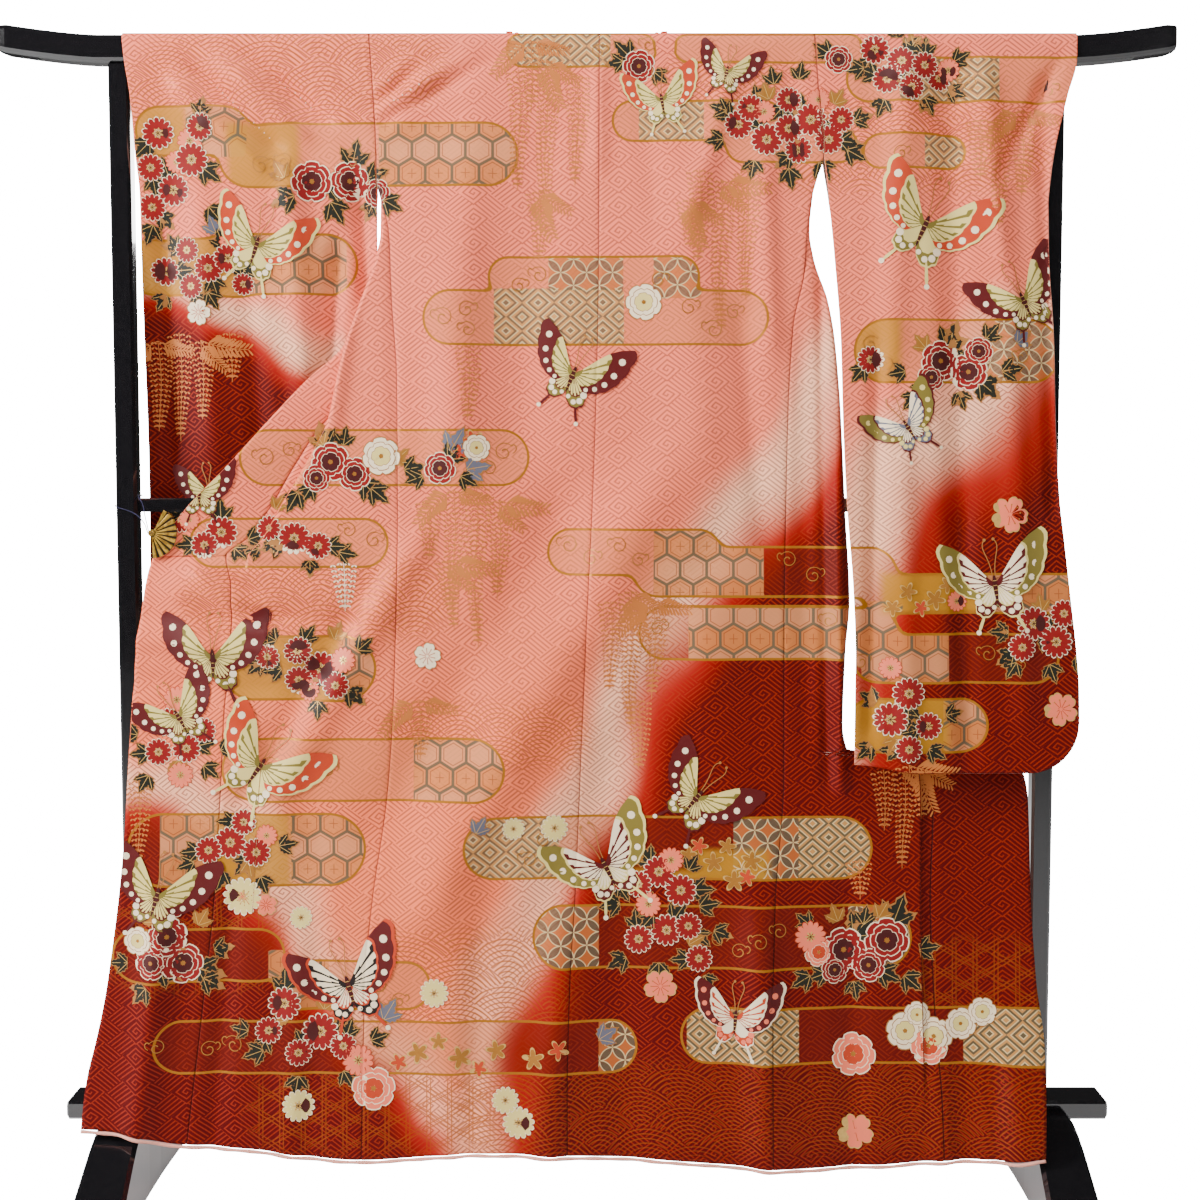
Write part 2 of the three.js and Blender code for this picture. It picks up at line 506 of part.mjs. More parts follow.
// The collar round the back of the neck hangs from the neckline behind the rail, and its ends pass behind
// the tucks of the fronts.
const neckCollar = [
  { x: -115.5, y: 29.3, low: -62 }, { x: -103, y: 29.7, low: -55 }, { x: -93, y: 24, low: -49 },
  { x: -40, y: 22.6, low: -21 }, { x: 40, y: 22.6, low: 21 }, { x: 93, y: 24, low: 49 },
  { x: 103, y: 29.7, low: 55 }, { x: 115.5, y: 29.3, low: 62 },
];
function collarNeck() {
  const top = overRail(-43.5).z - seamGap;
  return clothSolid([0, 0.33, 0.67, 1].map((t) => neckCollar.map(({ x, y, low }) => (
    point(mix(x, low, t), mix(y, 26.5, t) + 3 * Math.sin(Math.PI * t), mix(top, 1597, t))
  ))));
}

// Y of the layer of a sleeve that shows, drawn to the body's cloth along the sleeve's seam.
function sleeveY(side, x, z, u) {
  const drop = Math.max(0, hang.from - z);
  const right = -rightSleeveHang.start - rightSleeveHang.lean * (drop / rightSleeveHang.length) ** rightSleeveHang.power;
  const left = -leftSleeveHang.start + leftSleeveHang.back * smooth((1640 - z) / leftSleeveHang.length);
  const own = (side > 0 ? right : left) - smooth(drop / 80) * foldsAt(sleeveFolds, x, z);
  const sewn = (1 - smooth(u / 0.35)) * smooth((z - 1420) / 90);
  return mix(own, hangY(x, z), sewn);
}

// Depth from the layer that shows to the layer behind: open at the inner edge and at the cuff, closed at
// the bottom and at the outer edge below the cuff.
function bagDepth(side, x, z, u, bottom) {
  const behind = mix(behindRail, sleeveY(side, x, z, u) + sleeveBag.gap, smooth((1640 - z) / 260));
  const full = behind - sleeveY(side, x, z, u);
  const outer = z > sleeveBag.cuff ? 1 : Math.sqrt(clamp((1 - u) / sleeveBag.roundOut, 0, 1));
  const low = Math.sqrt(clamp((z - bottom) / sleeveBag.roundUp, 0, 1));
  return sleeveBag.seam + (full - sleeveBag.seam) * outer * low;
}

// Bottom edge of a sleeve: level, a little higher at the inner edge, with a round outer corner.
function sleeveBottomZ(inner, outer, u) {
  const width = Math.abs(outer - inner);
  const intoCorner = Math.max(0, u * width - (width - sleeveBottom.corner));
  const round = sleeveBottom.corner - Math.sqrt(Math.max(0, sleeveBottom.corner ** 2 - intoCorner ** 2));
  return sleeveBottom.z + round + sleeveBottom.inRise * (1 - smooth(u / 0.3));
}

function sleeve(side, behind) {
  const table = side > 0 ? rightSleeve : leftSleeve;
  const bodyEdge = side > 0 ? rightBackEdge : leftBackEdge;
  const across = (z, u) => {
    const inner = z >= sewnTo ? read(bodyEdge, 'x', z) : read(table, 'inner', z);
    const inset = behind ? mix(1.2, 7, smooth((sewnTo - z) / 200)) : halfGap;
    return mix(inner + side * inset, read(table, behind ? 'rear' : 'outer', z), u);
  };
  const place = (z, u) => {
    const x = across(z, u);
    const bottom = sleeveBottomZ(across(sleeveBottom.z, 0), across(sleeveBottom.z, 1), u);
    const y = sleeveY(side, x, z, u);
    return point(x, behind ? y + bagDepth(side, x, z, u, bottom) : y, z);
  };
  const grid = ridgeSteps.map((s) => {
    const { y, z } = overRail(behind ? -s : s);
    return sleeveColumns.map((u) => point(across(z, u), y, z));
  });
  for (const z of sleeveLevels) {
    grid.push(sleeveColumns.map((u) => place(z, u)));
  }
  for (const step of sleeveBottomSteps) {
    grid.push(sleeveColumns.map((u) => {
      const bottom = sleeveBottomZ(across(sleeveBottom.z, 0), across(sleeveBottom.z, 1), u);
      return place(mix(sleeveBottom.blendFrom, bottom, step), u);
    }));
  }
  return clothSolid(grid);
}

// A ring of a tube: round a centre, in the plane of two directions.
function ring(centre, first, second, radius, sides) {
  return Array.from({ length: sides }, (_, i) => {
    const angle = (2 * Math.PI * i) / sides;
    return centre.clone().addScaledVector(first, radius * Math.cos(angle))
      .addScaledVector(second, radius * Math.sin(angle));
  });
}

// A tube along a curve, its rings square to it.
function tube(curve, steps, radius, sides) {
  const frames = curve.computeFrenetFrames(steps);
  return loft(Array.from({ length: steps + 1 }, (_, i) => ring(
    curve.getPointAt(i / steps),
    frames.normals[i],
    frames.binormals[i],
    radius,
    sides,
  )));
}

// The lining's rolled edge, just under the hem of the panels.
function hemRoll() {
  const from = hemLine[0].x;
  const to = hemLine[hemLine.length - 1].x;
  const steps = 46;
  const rings = Array.from({ length: steps + 1 }, (_, i) => {
    const x = mix(from, to, i / steps);
    const z = read(hemLine, 'z', x, 'x');
    const centre = point(x, hangY(x, z), z - wall / 2 - seamGap - hemRollRadius);
    return ring(centre, point(0, 1, 0), point(0, 0, 1), hemRollRadius, 6);
  });
  return loft(rings);
}

// The section of a bar: a rectangle with its four corners cut or rounded, in two directions.
function barSection(halfWide, low, high, cut, place) {
  return [
    place(halfWide, low + cut), place(halfWide, high - cut), place(halfWide - cut, high),
    place(-halfWide + cut, high), place(-halfWide, high - cut), place(-halfWide, low + cut),
    place(-halfWide + cut, low), place(halfWide - cut, low),
  ];
}

// The rail has round edges, and its ends sweep up.
function railBody() {
  const corner = [0, 22.5, 45, 67.5, 90].map((degrees) => THREE.MathUtils.degToRad(degrees));
  const flat = rail.halfDepth - rail.round;
  const section = (x, lift, scale) => [
    [1, 1, 0], [-1, 1, 90], [-1, -1, 180], [1, -1, 270],
  ].flatMap(([sideY, sideZ], quarter) => corner.slice(0, 4).map((angle) => {
    const turn = angle + (quarter * Math.PI) / 2;
    const middle = (rail.top + rail.bottom) / 2;
    const flatZ = (rail.top - rail.bottom) / 2 - rail.round;
    const y = sideY * flat + rail.round * Math.cos(turn);
    const z = sideZ * flatZ + rail.round * Math.sin(turn);
    return point(x, y * scale, middle + z * scale + lift);
  }));
  const stations = [1, 0.985, 0.96, 0.93, 0.895, 0.86, 0.832];
  const halves = stations.map((part) => {
    const x = part * rail.halfLength;
    const along = (x - rail.sweepFrom) / (rail.halfLength - rail.sweepFrom);
    return section(x, rail.rise * clamp(along, 0, 1) ** 1.4, part === 1 ? 0.86 : 1);
  });
  const mirrored = halves.map((points) => points.map((p) => point(-p.x, p.y, p.z)));
  return loft([...mirrored, ...halves.reverse()]);
}

function uprightBody(side) {
  const section = (z) => barSection(upright.half, -upright.half, upright.half, upright.bevel, (x, y) => (
    point(side * upright.x + x, y, z)
  ));
  return loft([section(board.top + seamGap), section(rail.bottom - seamGap)]);
}

function midRailBody() {
  const half = upright.x - upright.half - seamGap;
  const section = (x) => barSection(midRail.half, midRail.bottom, midRail.top, 3, (y, z) => point(x, y, z));
  return loft([section(-half), section(half)]);
}

function boardBody() {
  const section = (x, inset) => barSection(
    board.halfDepth - inset,
    board.bottom + inset,
    board.top - inset,
    board.bevel,
    (y, z) => point(x, y, z),
  );
  const end = board.halfLength;
  const inset = 3;
  return loft([section(-end, inset), section(inset - end, 0), section(end - inset, 0), section(end, inset)]);
}

// A foot runs front to back: high in the middle, housed for the board, and curving down to low toes.
function footBody(side) {
  const rise = (y) => {
    const t = clamp((Math.abs(y) - foot.flat) / (foot.halfLength - foot.flat), 0, 1);
    return foot.toe + (foot.top - foot.toe) * (0.5 + 0.5 * Math.cos(Math.PI * t));
  };
  const section = (y, high) => {
    const spread = (Math.abs(y) / foot.halfLength) ** 1.6;
    const half = mix(foot.topWidth, foot.toeWidth, spread) / 2;
    const cut = Math.min(foot.bevel, high / 4);
    const outline = [[-half, 0], [half, 0], [half, high - cut], [half - cut, high], [cut - half, high], [-half, high - cut]];
    return outline.map(([x, z]) => point(side * foot.x + x, y, z));
  };
  const housing = board.halfDepth + seamGap;
  const floor = board.bottom - seamGap;
  const slopes = [1, 0.985, 0.93, 0.85, 0.76, 0.67, 0.58, 0.49, 0.4, 0.31, 0.22];
  const half = slopes.map((part) => ({ y: part * foot.halfLength, high: rise(part * foot.halfLength) }));
  half[0].high *= 0.6;
  half.push({ y: housing + 0.4, high: rise(housing + 0.4) }, { y: housing, high: floor });
  const profile = [...half.map(({ y, high }) => ({ y: -y, high })), ...half.reverse()];
  return loft(profile.map(({ y, high }) => section(y, high)));
}

// A folding-fan clip: two fan-shaped jaws either side of the cloth, and the pin that joins them.
function fanJaw(front) {
  const steps = 12;
  const near = fan.y + (front ? -fan.gap : fan.gap);
  const far = near + (front ? -fan.thick : fan.thick);
  const tilt = front ? 0 : 14;
  const direction = (i) => THREE.MathUtils.degToRad(mix(fan.from, fan.to, i / steps) + tilt);
  const rings = Array.from({ length: steps + 1 }, (_, i) => {
    const cos = Math.cos(direction(i));
    const sin = Math.sin(direction(i));
    const corner = (radius, y) => point(fan.x + radius * cos, y, fan.z + radius * sin);
    return [corner(fan.inner, near), corner(fan.outer, near), corner(fan.outer, far), corner(fan.inner, far)];
  });
  return loft(rings);
}

function fanPinBody() {
  const section = (y, radius) => ring(point(fan.x, y, fan.z), point(1, 0, 0), point(0, 0, 1), radius, 12);
  const half = fanPin.length / 2;
  return loft([
    section(fan.y - half, fanPin.radius - 1), section(fan.y - half + 1, fanPin.radius),
    section(fan.y + half - 1, fanPin.radius), section(fan.y + half, fanPin.radius - 1),
  ]);
}

// The thread leaves the clip, passes over the mid rail, goes round the left upright and comes back.
function threadBody() {
  const outside = upright.x + upright.half;
  const inside = upright.x - upright.half;
  const off = 1.6;
  const route = [
    [fan.x - 5.9, fan.y + 2, fan.z + 3], [-633, -34, 996], [-640, -20, 1014],
    [off - inside, -10, 1025], [off - inside + 0.6, 10, 1026], [-inside - 2, upright.half + off + 1, 1025],
    [-outside + 3, upright.half + off, 1017], [-outside - off, upright.half - 2, 1014],
    [-outside - off, 0, 1012], [-outside - off, -upright.half + 2, 1011], [3 - outside, -upright.half - off, 1009],
    [-inside - 4, -upright.half - off - 1, 1001], [-636, -32, 988], [fan.x - 5.9, fan.y - 2, fan.z],
  ].map((place) => point(...place));
  return tube(new THREE.CatmullRomCurve3(route, false, 'centripetal'), 44, threadRadius, 6);
}

const finish = {
  cloth: new THREE.MeshStandardMaterial({ color: 0xe39a84, roughness: 0.62, metalness: 0 }),
  lining: new THREE.MeshStandardMaterial({ color: 0xf6cfc6, roughness: 0.6, metalness: 0 }),
  lacquer: new THREE.MeshStandardMaterial({ color: 0x08080a, roughness: 0.12, metalness: 0 }),
  gilt: new THREE.MeshStandardMaterial({ color: 0xb39a3c, roughness: 0.35, metalness: 0.9 }),
  thread: new THREE.MeshStandardMaterial({ color: 0x16143a, roughness: 0.7, metalness: 0 }),
};

const group = new THREE.Group();
function add(name, geometry, material) {
  const mesh = new THREE.Mesh(geometry, material);
  mesh.name = name;
  group.add(mesh);
}

const leftStops = [-308, -256, -204, -152, -104, -101.8, -99.3, -96.8, -94.5, -40, 18];
const rightStops = [18, 62, 94.5, 96.8, 99.3, 101.8, 104, 152, 204, 256, 296, 322];

add('back_left', backPanel(leftBackEdge, centreSeam, leftStops), finish.cloth);
add('back_right', backPanel(centreSeam, rightBackEdge, rightStops), finish.cloth);
add('front_left', frontPanel(leftHalf), finish.cloth);
add('front_right', frontPanel(rightHalf), finish.cloth);
add('okumi_left', okumi(leftHalf), finish.cloth);
add('okumi_right', okumi(rightHalf), finish.cloth);
add('collar_left', collar(leftHalf), finish.cloth);
add('collar_neck', collarNeck(), finish.cloth);
add('collar_right', collar(rightHalf), finish.cloth);
add('sleeve_left_back', sleeve(-1, false), finish.cloth);
add('sleeve_left_front', sleeve(-1, true), finish.cloth);
add('sleeve_right_back', sleeve(1, false), finish.cloth);
add('sleeve_right_front', sleeve(1, true), finish.cloth);
add('hem_roll', hemRoll(), finish.lining);
add('rail', railBody(), finish.lacquer);
add('upright_left', uprightBody(-1), finish.lacquer);
add('upright_right', uprightBody(1), finish.lacquer);
add('mid_rail', midRailBody(), finish.lacquer);
add('cross_board', boardBody(), finish.lacquer);
add('foot_left', footBody(-1), finish.lacquer);
add('foot_right', footBody(1), finish.lacquer);
add('fan_front', fanJaw(true), finish.gilt);
add('fan_back', fanJaw(false), finish.gilt);
add('fan_pin', fanPinBody(), finish.gilt);
add('thread', threadBody(), finish.thread);

export default group;
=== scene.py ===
# A furisode hung over a lacquered kimono stand, its back to the viewer.
# Tables and section functions are in millimetres: +X to the viewer's right, +Y away, +Z up. Meshes are
# in metres.
import math
import bpy
import mathutils
import numpy as np
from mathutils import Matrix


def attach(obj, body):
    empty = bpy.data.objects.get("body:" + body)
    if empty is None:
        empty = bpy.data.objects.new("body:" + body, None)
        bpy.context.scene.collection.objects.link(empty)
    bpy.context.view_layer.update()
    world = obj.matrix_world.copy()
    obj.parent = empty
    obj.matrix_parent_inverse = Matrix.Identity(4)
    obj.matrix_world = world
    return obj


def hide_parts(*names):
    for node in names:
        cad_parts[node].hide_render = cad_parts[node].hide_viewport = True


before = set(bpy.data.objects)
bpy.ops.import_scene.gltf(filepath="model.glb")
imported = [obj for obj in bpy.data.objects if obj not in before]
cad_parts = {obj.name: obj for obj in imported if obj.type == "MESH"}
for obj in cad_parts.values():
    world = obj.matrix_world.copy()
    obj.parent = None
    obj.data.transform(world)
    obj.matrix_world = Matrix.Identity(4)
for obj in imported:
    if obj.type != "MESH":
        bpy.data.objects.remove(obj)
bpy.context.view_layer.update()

scene = bpy.context.scene
tau = 2 * math.pi


# The camera: its place in metres, how far it looks down in degrees, and its lens.
cameraAt = {"x": 0.019, "y": -2.6, "z": 1.06, "down": 4.1, "lens": 53.67}
cameraData = bpy.data.cameras.new("camera")
cameraData.lens = cameraAt["lens"]
cameraData.sensor_width = 36
camera = bpy.data.objects.new("camera", cameraData)
camera.location = (cameraAt["x"], cameraAt["y"], cameraAt["z"])
camera.rotation_euler = (math.radians(90 - cameraAt["down"]), 0, 0)
scene.collection.objects.link(camera)
scene.camera = camera
print("camera placed")


# Small helpers: t eased from 0 to 1, and a mix of two values.
def smooth(t):
    t = np.clip(t, 0, 1)
    return t * t * (3 - 2 * t)


def mix(a, b, t):
    return a + (b - a) * t


# A paint's colour from the tone it should show, mixed deeper because soft light and the view lift it.
def tone(r, g, b):
    return tuple(((c / 255 + 0.055) / 1.055) ** 3.0 for c in (r, g, b))


# Rows of numbers under named columns, in order of the first column.
def table(names, *rows):
    return dict(zip(names.split(), np.array(sorted(rows), dtype=float).T))


# A column of a table at any places of its key column: a cubic through the rows whose slope at a row is the
# harmonic mean of the two beside it, or none where they turn, so it never overshoots.
def read(rows, name, at, key="z"):
    x, y = rows[key], rows[name]
    at = np.clip(np.asarray(at, dtype=float), x[0], x[-1])
    slope = np.diff(y) / np.diff(x)
    before, after = slope[:-1], slope[1:]
    turns = before * after <= 0
    inner = np.where(turns, 0, 2 * before * after / np.where(turns, 1, before + after))
    tangent = np.concatenate(([slope[0]], inner, [slope[-1]]))
    i = np.clip(np.searchsorted(x, at, side="right") - 1, 0, len(x) - 2)
    step = x[i + 1] - x[i]
    t = (at - x[i]) / step
    ease = t * t * (3 - 2 * t)
    bend = (1 - t) * tangent[i] - t * tangent[i + 1]
    return mix(y[i], y[i + 1], ease) + step * t * (1 - t) * bend


# Sizes of the rail and of how the cloth hangs from it. drop is the share of hang's length below its start.
rail = {"halfLength": 836, "bottom": 1638, "top": 1679, "halfDepth": 20, "round": 12}
hang = {"start": 22, "lean": 88, "power": 1.25, "from": 1680, "length": 1600}
behindRail = 21.5
cornerPush = {"x": 500, "overX": 130, "z": 330, "overZ": 230, "depth": 42}
rightSleeveHang = {"start": 22, "lean": 88, "power": 1.2, "length": 1040}
leftSleeveHang = {"start": 22, "back": 41, "length": 580}
neckHalf, neckCorner = 95, 9
clip = {"x": -619, "z": 973, "y": -50.3, "inner": 6, "outer": 36}
clipHold = {"y": -52.5, "full": 45, "over": 60}

# Large soft folds, towards the viewer if deep: a line between two places, its half width and its depth.
bodyFolds = [
    (-205, 1665, -262, 1560, 16, 4), (345, 1180, 350, 760, 20, 7), (305, 1240, 312, 700, 15, -3),
    (-585, 950, -300, 870, 22, 6), (-590, 930, -330, 720, 24, 6), (-600, 910, -430, 560, 22, 5),
    (-640, 855, -450, 850, 14, -5), (-645, 760, -420, 750, 16, -5), (-230, 1450, -120, 700, 38, 5),
    (-110, 1300, 60, 500, 45, -5), (90, 1500, 190, 620, 40, 4), (-610, 420, -640, 60, 30, 8),
    (-400, 480, -420, 60, 36, -8), (-200, 520, -180, 60, 44, 8), (40, 460, 60, 60, 40, -7),
    (250, 500, 290, 60, 42, 8), (545, 560, 560, 60, 36, -7),
]
sleeveFolds = [
    (352, 1670, 392, 1540, 12, 5), (470, 1600, 500, 760, 40, 5), (620, 1560, 610, 700, 30, -5),
    (-480, 1600, -470, 700, 46, 5), (-600, 1600, -590, 700, 30, -4),
]

# Smaller creases of the same form, and how much deeper than listed they are made: those of the body that
# come forward, those that go back, and those of the sleeves.
creaseScale = {"forward": 1.7, "back": 1.0, "sleeve": 1.8}
creases = [
    (-96, 1666, -277, 1559, 9, -5), (-136, 1668, -277, 1579, 8, 4), (-188, 1668, -283, 1592, 8, -5),
    (-230, 1668, -286, 1607, 7, 3), (-278, 1374, -272, 1119, 10, -2.5), (74, 992, -225, 451, 44, 9),
    (-40, 992, -297, 550, 38, -8), (166, 921, -40, 479, 34, -7), (-167, 1472, -189, 1133, 36, 6),
    (-68, 1486, -97, 1119, 34, -5), (145, 1444, 166, 1133, 36, 5), (223, 1261, 248, 992, 18, -6),
    (251, 1472, 261, 1261, 16, 5), (-154, 365, -169, 94, 22, -6), (-40, 337, -54, 94, 26, 6),
    (245, 379, 253, 94, 24, 7), (374, 451, 381, 94, 24, -7), (502, 593, 509, 94, 20, 6),
    (573, 565, 584, 94, 14, -6), (-511, 408, -533, 123, 18, -7), (-411, 365, -425, 94, 22, 6),
    (-611, 365, -640, 137, 20, 6), (332, 1346, 342, 622, 8, -6), (355, 1162, 362, 622, 7, 5),
    (-624, 878, -368, 847, 13, -4), (-638, 821, -410, 798, 12, 4), (-577, 940, -481, 892, 9, -5),
    (-567, 963, -410, 935, 9, 5), (-552, 913, -439, 821, 10, 4), (-253, 935, -411, 650, 24, 6),
    (-325, 878, -482, 607, 20, -6), (45, 821, 159, 793, 30, 4), (-366, 1261, -410, 1119, 12, -4),
    (-331, 1346, -360, 1133, 14, 4), (74, 1641, 95, 1444, 20, -4), (17, 1655, 17, 1515, 14, 4),
    (208, 1641, 159, 1458, 18, 4), (286, 1641, 300, 1515, 12, -4),
]
sleeveCreases = [
    (-551, 1627, -449, 1530, 11, -7), (-574, 1601, -470, 1500, 10, 5), (-497, 1664, -374, 1562, 11, -7),
    (-517, 1641, -408, 1543, 9, 5), (-383, 1664, -303, 1594, 10, -6), (-428, 1668, -334, 1596, 9, 5),
    (-327, 1515, -319, 1331, 14, -7), (-359, 1360, -378, 1204, 14, -7), (-422, 1472, -409, 1133, 20, 6),
    (-550, 1402, -545, 1119, 24, 5), (-607, 1374, -609, 1105, 16, -5), (-487, 1303, -474, 1063, 18, -4),
    (448, 1641, 429, 1261, 24, 6), (512, 1613, 529, 1020, 24, -6), (599, 1303, 615, 736, 22, 6),
    (647, 1585, 660, 1020, 13, -5), (412, 1233, 399, 707, 12, -5), (444, 1048, 452, 679, 20, 5),
    (413, 1641, 527, 1515, 10, -4), (667, 1641, 591, 1486, 10, -5), (529, 963, 537, 679, 18, -5),
    (561, 1627, 584, 1388, 16, 5),
]
bodyFolds += [(*line, depth * creaseScale["forward" if depth > 0 else "back"]) for *line, depth in creases]
sleeveFolds += [(*line, depth * creaseScale["sleeve"]) for *line, depth in sleeveCreases]

hemLine = table(
    "x z", (-722, 124), (-650, 119), (-590, 104), (-473, 95), (-401, 85), (-321, 80), (-165, 90), (-34, 87),
    (98, 80), (304, 70), (400, 72), (500, 81), (590, 88), (645, 98))
nominalHem, hemBlend = 80, {"from": 300, "over": 220}

leftBackEdge = table(
    "z x", (1680, -308), (1590, -302), (1535, -299), (1472, -297), (1400, -281), (1300, -277), (1189, -270),
    (940, -269), (803, -273), (700, -277), (593, -286), (448, -306), (338, -316), (80, -322))
centreSeam = table(
    "z x", (1680, 18), (1364, 17), (1189, 14), (1010, 8), (803, -2), (593, -11), (448, -17), (338, -24),
    (170, -28), (80, -28))
rightBackEdge = table(
    "z x", (1680, 322), (1590, 329), (1509, 336), (1472, 326), (1441, 318), (1400, 313), (1344, 309),
    (1265, 293), (1136, 286), (803, 281), (630, 281), (448, 268), (300, 264), (80, 265))
leftFrontPlan = table(
    "z inset fold tuck okumi gap",
    (1680, 12, -305, -106, -115, 2.4), (1640, 11, -302, -106, -116, 2.4), (1590, 10, -300, -108, -119, 5),
    (1535, 10, -297, -112, -128, 8), (1472, 10, -295, -117, -150, 8), (1436, 0, -292, -120, -161, 8),
    (1400, 0, -292, -124, -172, 8), (1364, 0, -299, -129, -184, 8), (1300, 0, -322, -165, -206, 8),
    (1241, 0, -343, -198, -228, 8), (1189, 0, -356, -242, -290, 8), (1136, 0, -367, -295, -370, 8),
    (1067, 0, -402, -354, -419, 8), (1010, 0, -436, -405, -452, 7), (965, 0, -461, -448, -485, 5),
    (940, 0, -479, -482, -514, 2.5), (915, 0, -462, -484, -509, 0.4), (874, 0, -452, -478, -505, 0),
    (700, 0, -460, -488, -517, 0), (593, 0, -468, -496, -523, 0), (448, 0, -476, -504, -532, 0),
    (338, 0, -488, -516, -544, 0), (80, 0, -512, -541, -571, 0))
rightFrontPlan = table(
    "z inset fold tuck okumi gap",
    (1680, 11, 320, 106, 115, 2.4), (1640, 11, 323, 107, 116, 2.4), (1590, 11, 327, 112, 122, 5),
    (1535, 11, 331, 122, 134, 8), (1472, 10, 325, 135, 148, 8), (1400, 5, 317, 150, 162, 8),
    (1364, 0, 322, 158, 170, 8), (1300, 0, 343, 172, 184, 8), (1241, 0, 353, 182, 194, 8),
    (1136, 0, 361, 195, 207, 8), (1010, 0, 367, 204, 216, 8), (874, 0, 374, 212, 224, 8),
    (803, 0, 368, 206, 218, 8), (700, 0, 364, 202, 215, 8), (665, 0, 371, 216, 236, 7),
    (655, 0, 430, 330, 356, 6), (645, 0, 463, 422, 450, 5), (630, 0, 474, 454, 487, 4),
    (593, 0, 476, 459, 495, 3.2), (448, 0, 476, 464, 491, 3.2), (338, 0, 478, 470, 495, 3),
    (250, 0, 480, 475, 500, 2), (170, 0, 482, 486, 506, 0.8), (80, 0, 478, 492, 509, 0))
leftCollarEdge = table(
    "z x drop back", (1650, -63.5, 53, 49), (1640, -64, 54, 54), (1590, -76, 48, 74), (1535, -112, 38, 84),
    (1472, -185, 22, 78), (1400, -262, 5, 48), (1364, -297, 0, 28), (1300, -321, 0, 17), (1241, -346, 0, 14),
    (1189, -401, 0, 10), (1136, -451, 0, 7), (1067, -514, 0, 4), (1010, -569, 0, 2.2), (965, -603, 0, 2.2),
    (940, -618, 0, 2.2))
rightCollarEdge = table(
    "z x drop back", (1650, 63.5, 53, 49), (1640, 64, 54, 54), (1590, 76, 46, 74), (1535, 105, 38, 80),
    (1472, 158, 22, 76), (1400, 211, 6, 58), (1364, 230, 2, 44), (1300, 259, 0, 24), (1241, 283, 0, 19),
    (1136, 321, 0, 18), (1010, 349, 0, 18), (874, 364, 0, 18), (803, 364, 0, 18))
leftOkumiEdge = table(
    "z x drop back", (940, -618, 0, 2.2), (915, -626, 0, 1.5), (803, -642, 0, 0), (665, -652, 0, 0),
    (520, -661, 0, 0), (338, -683, 0, 0), (250, -699, 0, 0), (170, -713, 0, 0), (80, -722, 0, 0))
rightOkumiEdge = table(
    "z x drop back", (1400, 170, 0, 26), (1364, 184, 0, 20), (1300, 213, 0, 17), (1241, 237, 0, 17),
    (1136, 277, 0, 17), (1010, 305, 0, 17), (874, 322, 0, 17), (803, 338, 0, 17), (700, 350, 0, 17),
    (665, 360, 0, 16), (655, 478, 0, 13), (645, 580, 0, 10), (630, 624, 0, 6), (593, 630, 0, 4),
    (448, 634, 0, 2), (338, 641, 0, 0), (250, 650, 0, 0), (80, 645, 0, 0))
leftHalf = {
    "side": -1, "backEdge": leftBackEdge, "plan": leftFrontPlan, "frontJoin": 1400,
    "okumiEdge": leftOkumiEdge, "okumiTop": 940, "collarEdge": leftCollarEdge, "collarEnd": 940}
rightHalf = {
    "side": 1, "backEdge": rightBackEdge, "plan": rightFrontPlan, "frontJoin": 1320,
    "okumiEdge": rightOkumiEdge, "okumiTop": 1400, "collarEdge": rightCollarEdge, "collarEnd": 803}
rightSleeve = table(
    "z inner outer rear", (1680, 322, 694, 640), (1640, 325, 693, 640), (1590, 329, 680, 640),
    (1509, 336, 662, 640), (1455, 342, 656, 643), (1440, 343, 655, 655), (1365, 350, 656, 656),
    (1246, 359, 662, 662), (1130, 362, 664, 664), (1017, 367, 669, 669), (892, 376, 681, 681),
    (803, 379, 690, 690), (750, 378, 693, 693), (637, 376, 693, 693))
leftSleeve = table(
    "z inner outer rear", (1680, -308, -658, -656), (1640, -305, -654, -652), (1590, -302, -647, -645),
    (1509, -299, -642, -640), (1455, -298, -638, -637), (1440, -299, -638, -638), (1246, -303, -640, -640),
    (1017, -306, -639, -639), (803, -310, -641, -641), (637, -312, -641, -641))
sleeveBottom = {"z": 637, "inRise": 12, "corner": 72, "blendFrom": 760}
sleeveBag = {"cuff": 1450, "gap": 20, "seam": 2.3, "roundOut": 0.16, "roundUp": 90}
sewnTo = 1509  # a sleeve is sewn to the body from here up
sewn = {"share": 0.35, "from": 1420, "over": 90}  # and blends into it over this
sleeveWidth = 330
clearOfRail = 1640  # the level where the cloth has left the rail


# Height of soft folds at a place: round across each line, fading out past both ends.
def foldsAt(folds, x, z):
    total = 0
    for fromX, fromZ, toX, toZ, half, depth in folds:
        length = math.hypot(toX - fromX, toZ - fromZ)
        ax, az = (toX - fromX) / length, (toZ - fromZ) / length
        along = (x - fromX) * ax + (z - fromZ) * az
        across = (x - fromX) * az - (z - fromZ) * ax
        past = np.maximum(0, np.maximum(-along, along - length))
        total = total + depth * np.exp(-((across / half) ** 2) - (past / (2.5 * half)) ** 2)
    return total


# Y of the body's cloth where it hangs in front of the rail: it leans forward as a power of the drop.
def hangY(x, z, folded=1):
    drop = np.maximum(0, hang["from"] - z) / hang["length"]
    corner = smooth((x - cornerPush["x"]) / cornerPush["overX"])
    corner = corner * smooth((cornerPush["z"] - z) / cornerPush["overZ"])
    folds = folded * smooth(drop * 20) * foldsAt(bodyFolds, x, z)
    y = -hang["start"] - hang["lean"] * drop ** hang["power"] - cornerPush["depth"] * corner - folds
    fromClip = np.hypot(x - clip["x"], z - clip["z"])
    return mix(clipHold["y"], y, smooth((fromClip - clipHold["full"]) / clipHold["over"]))


# A level lowered to the hem line as it nears the hem.
def levelZ(level, x):
    blend = smooth((hemBlend["from"] - level) / hemBlend["over"])
    return level + (read(hemLine, "z", x, "x") - nominalHem) * blend


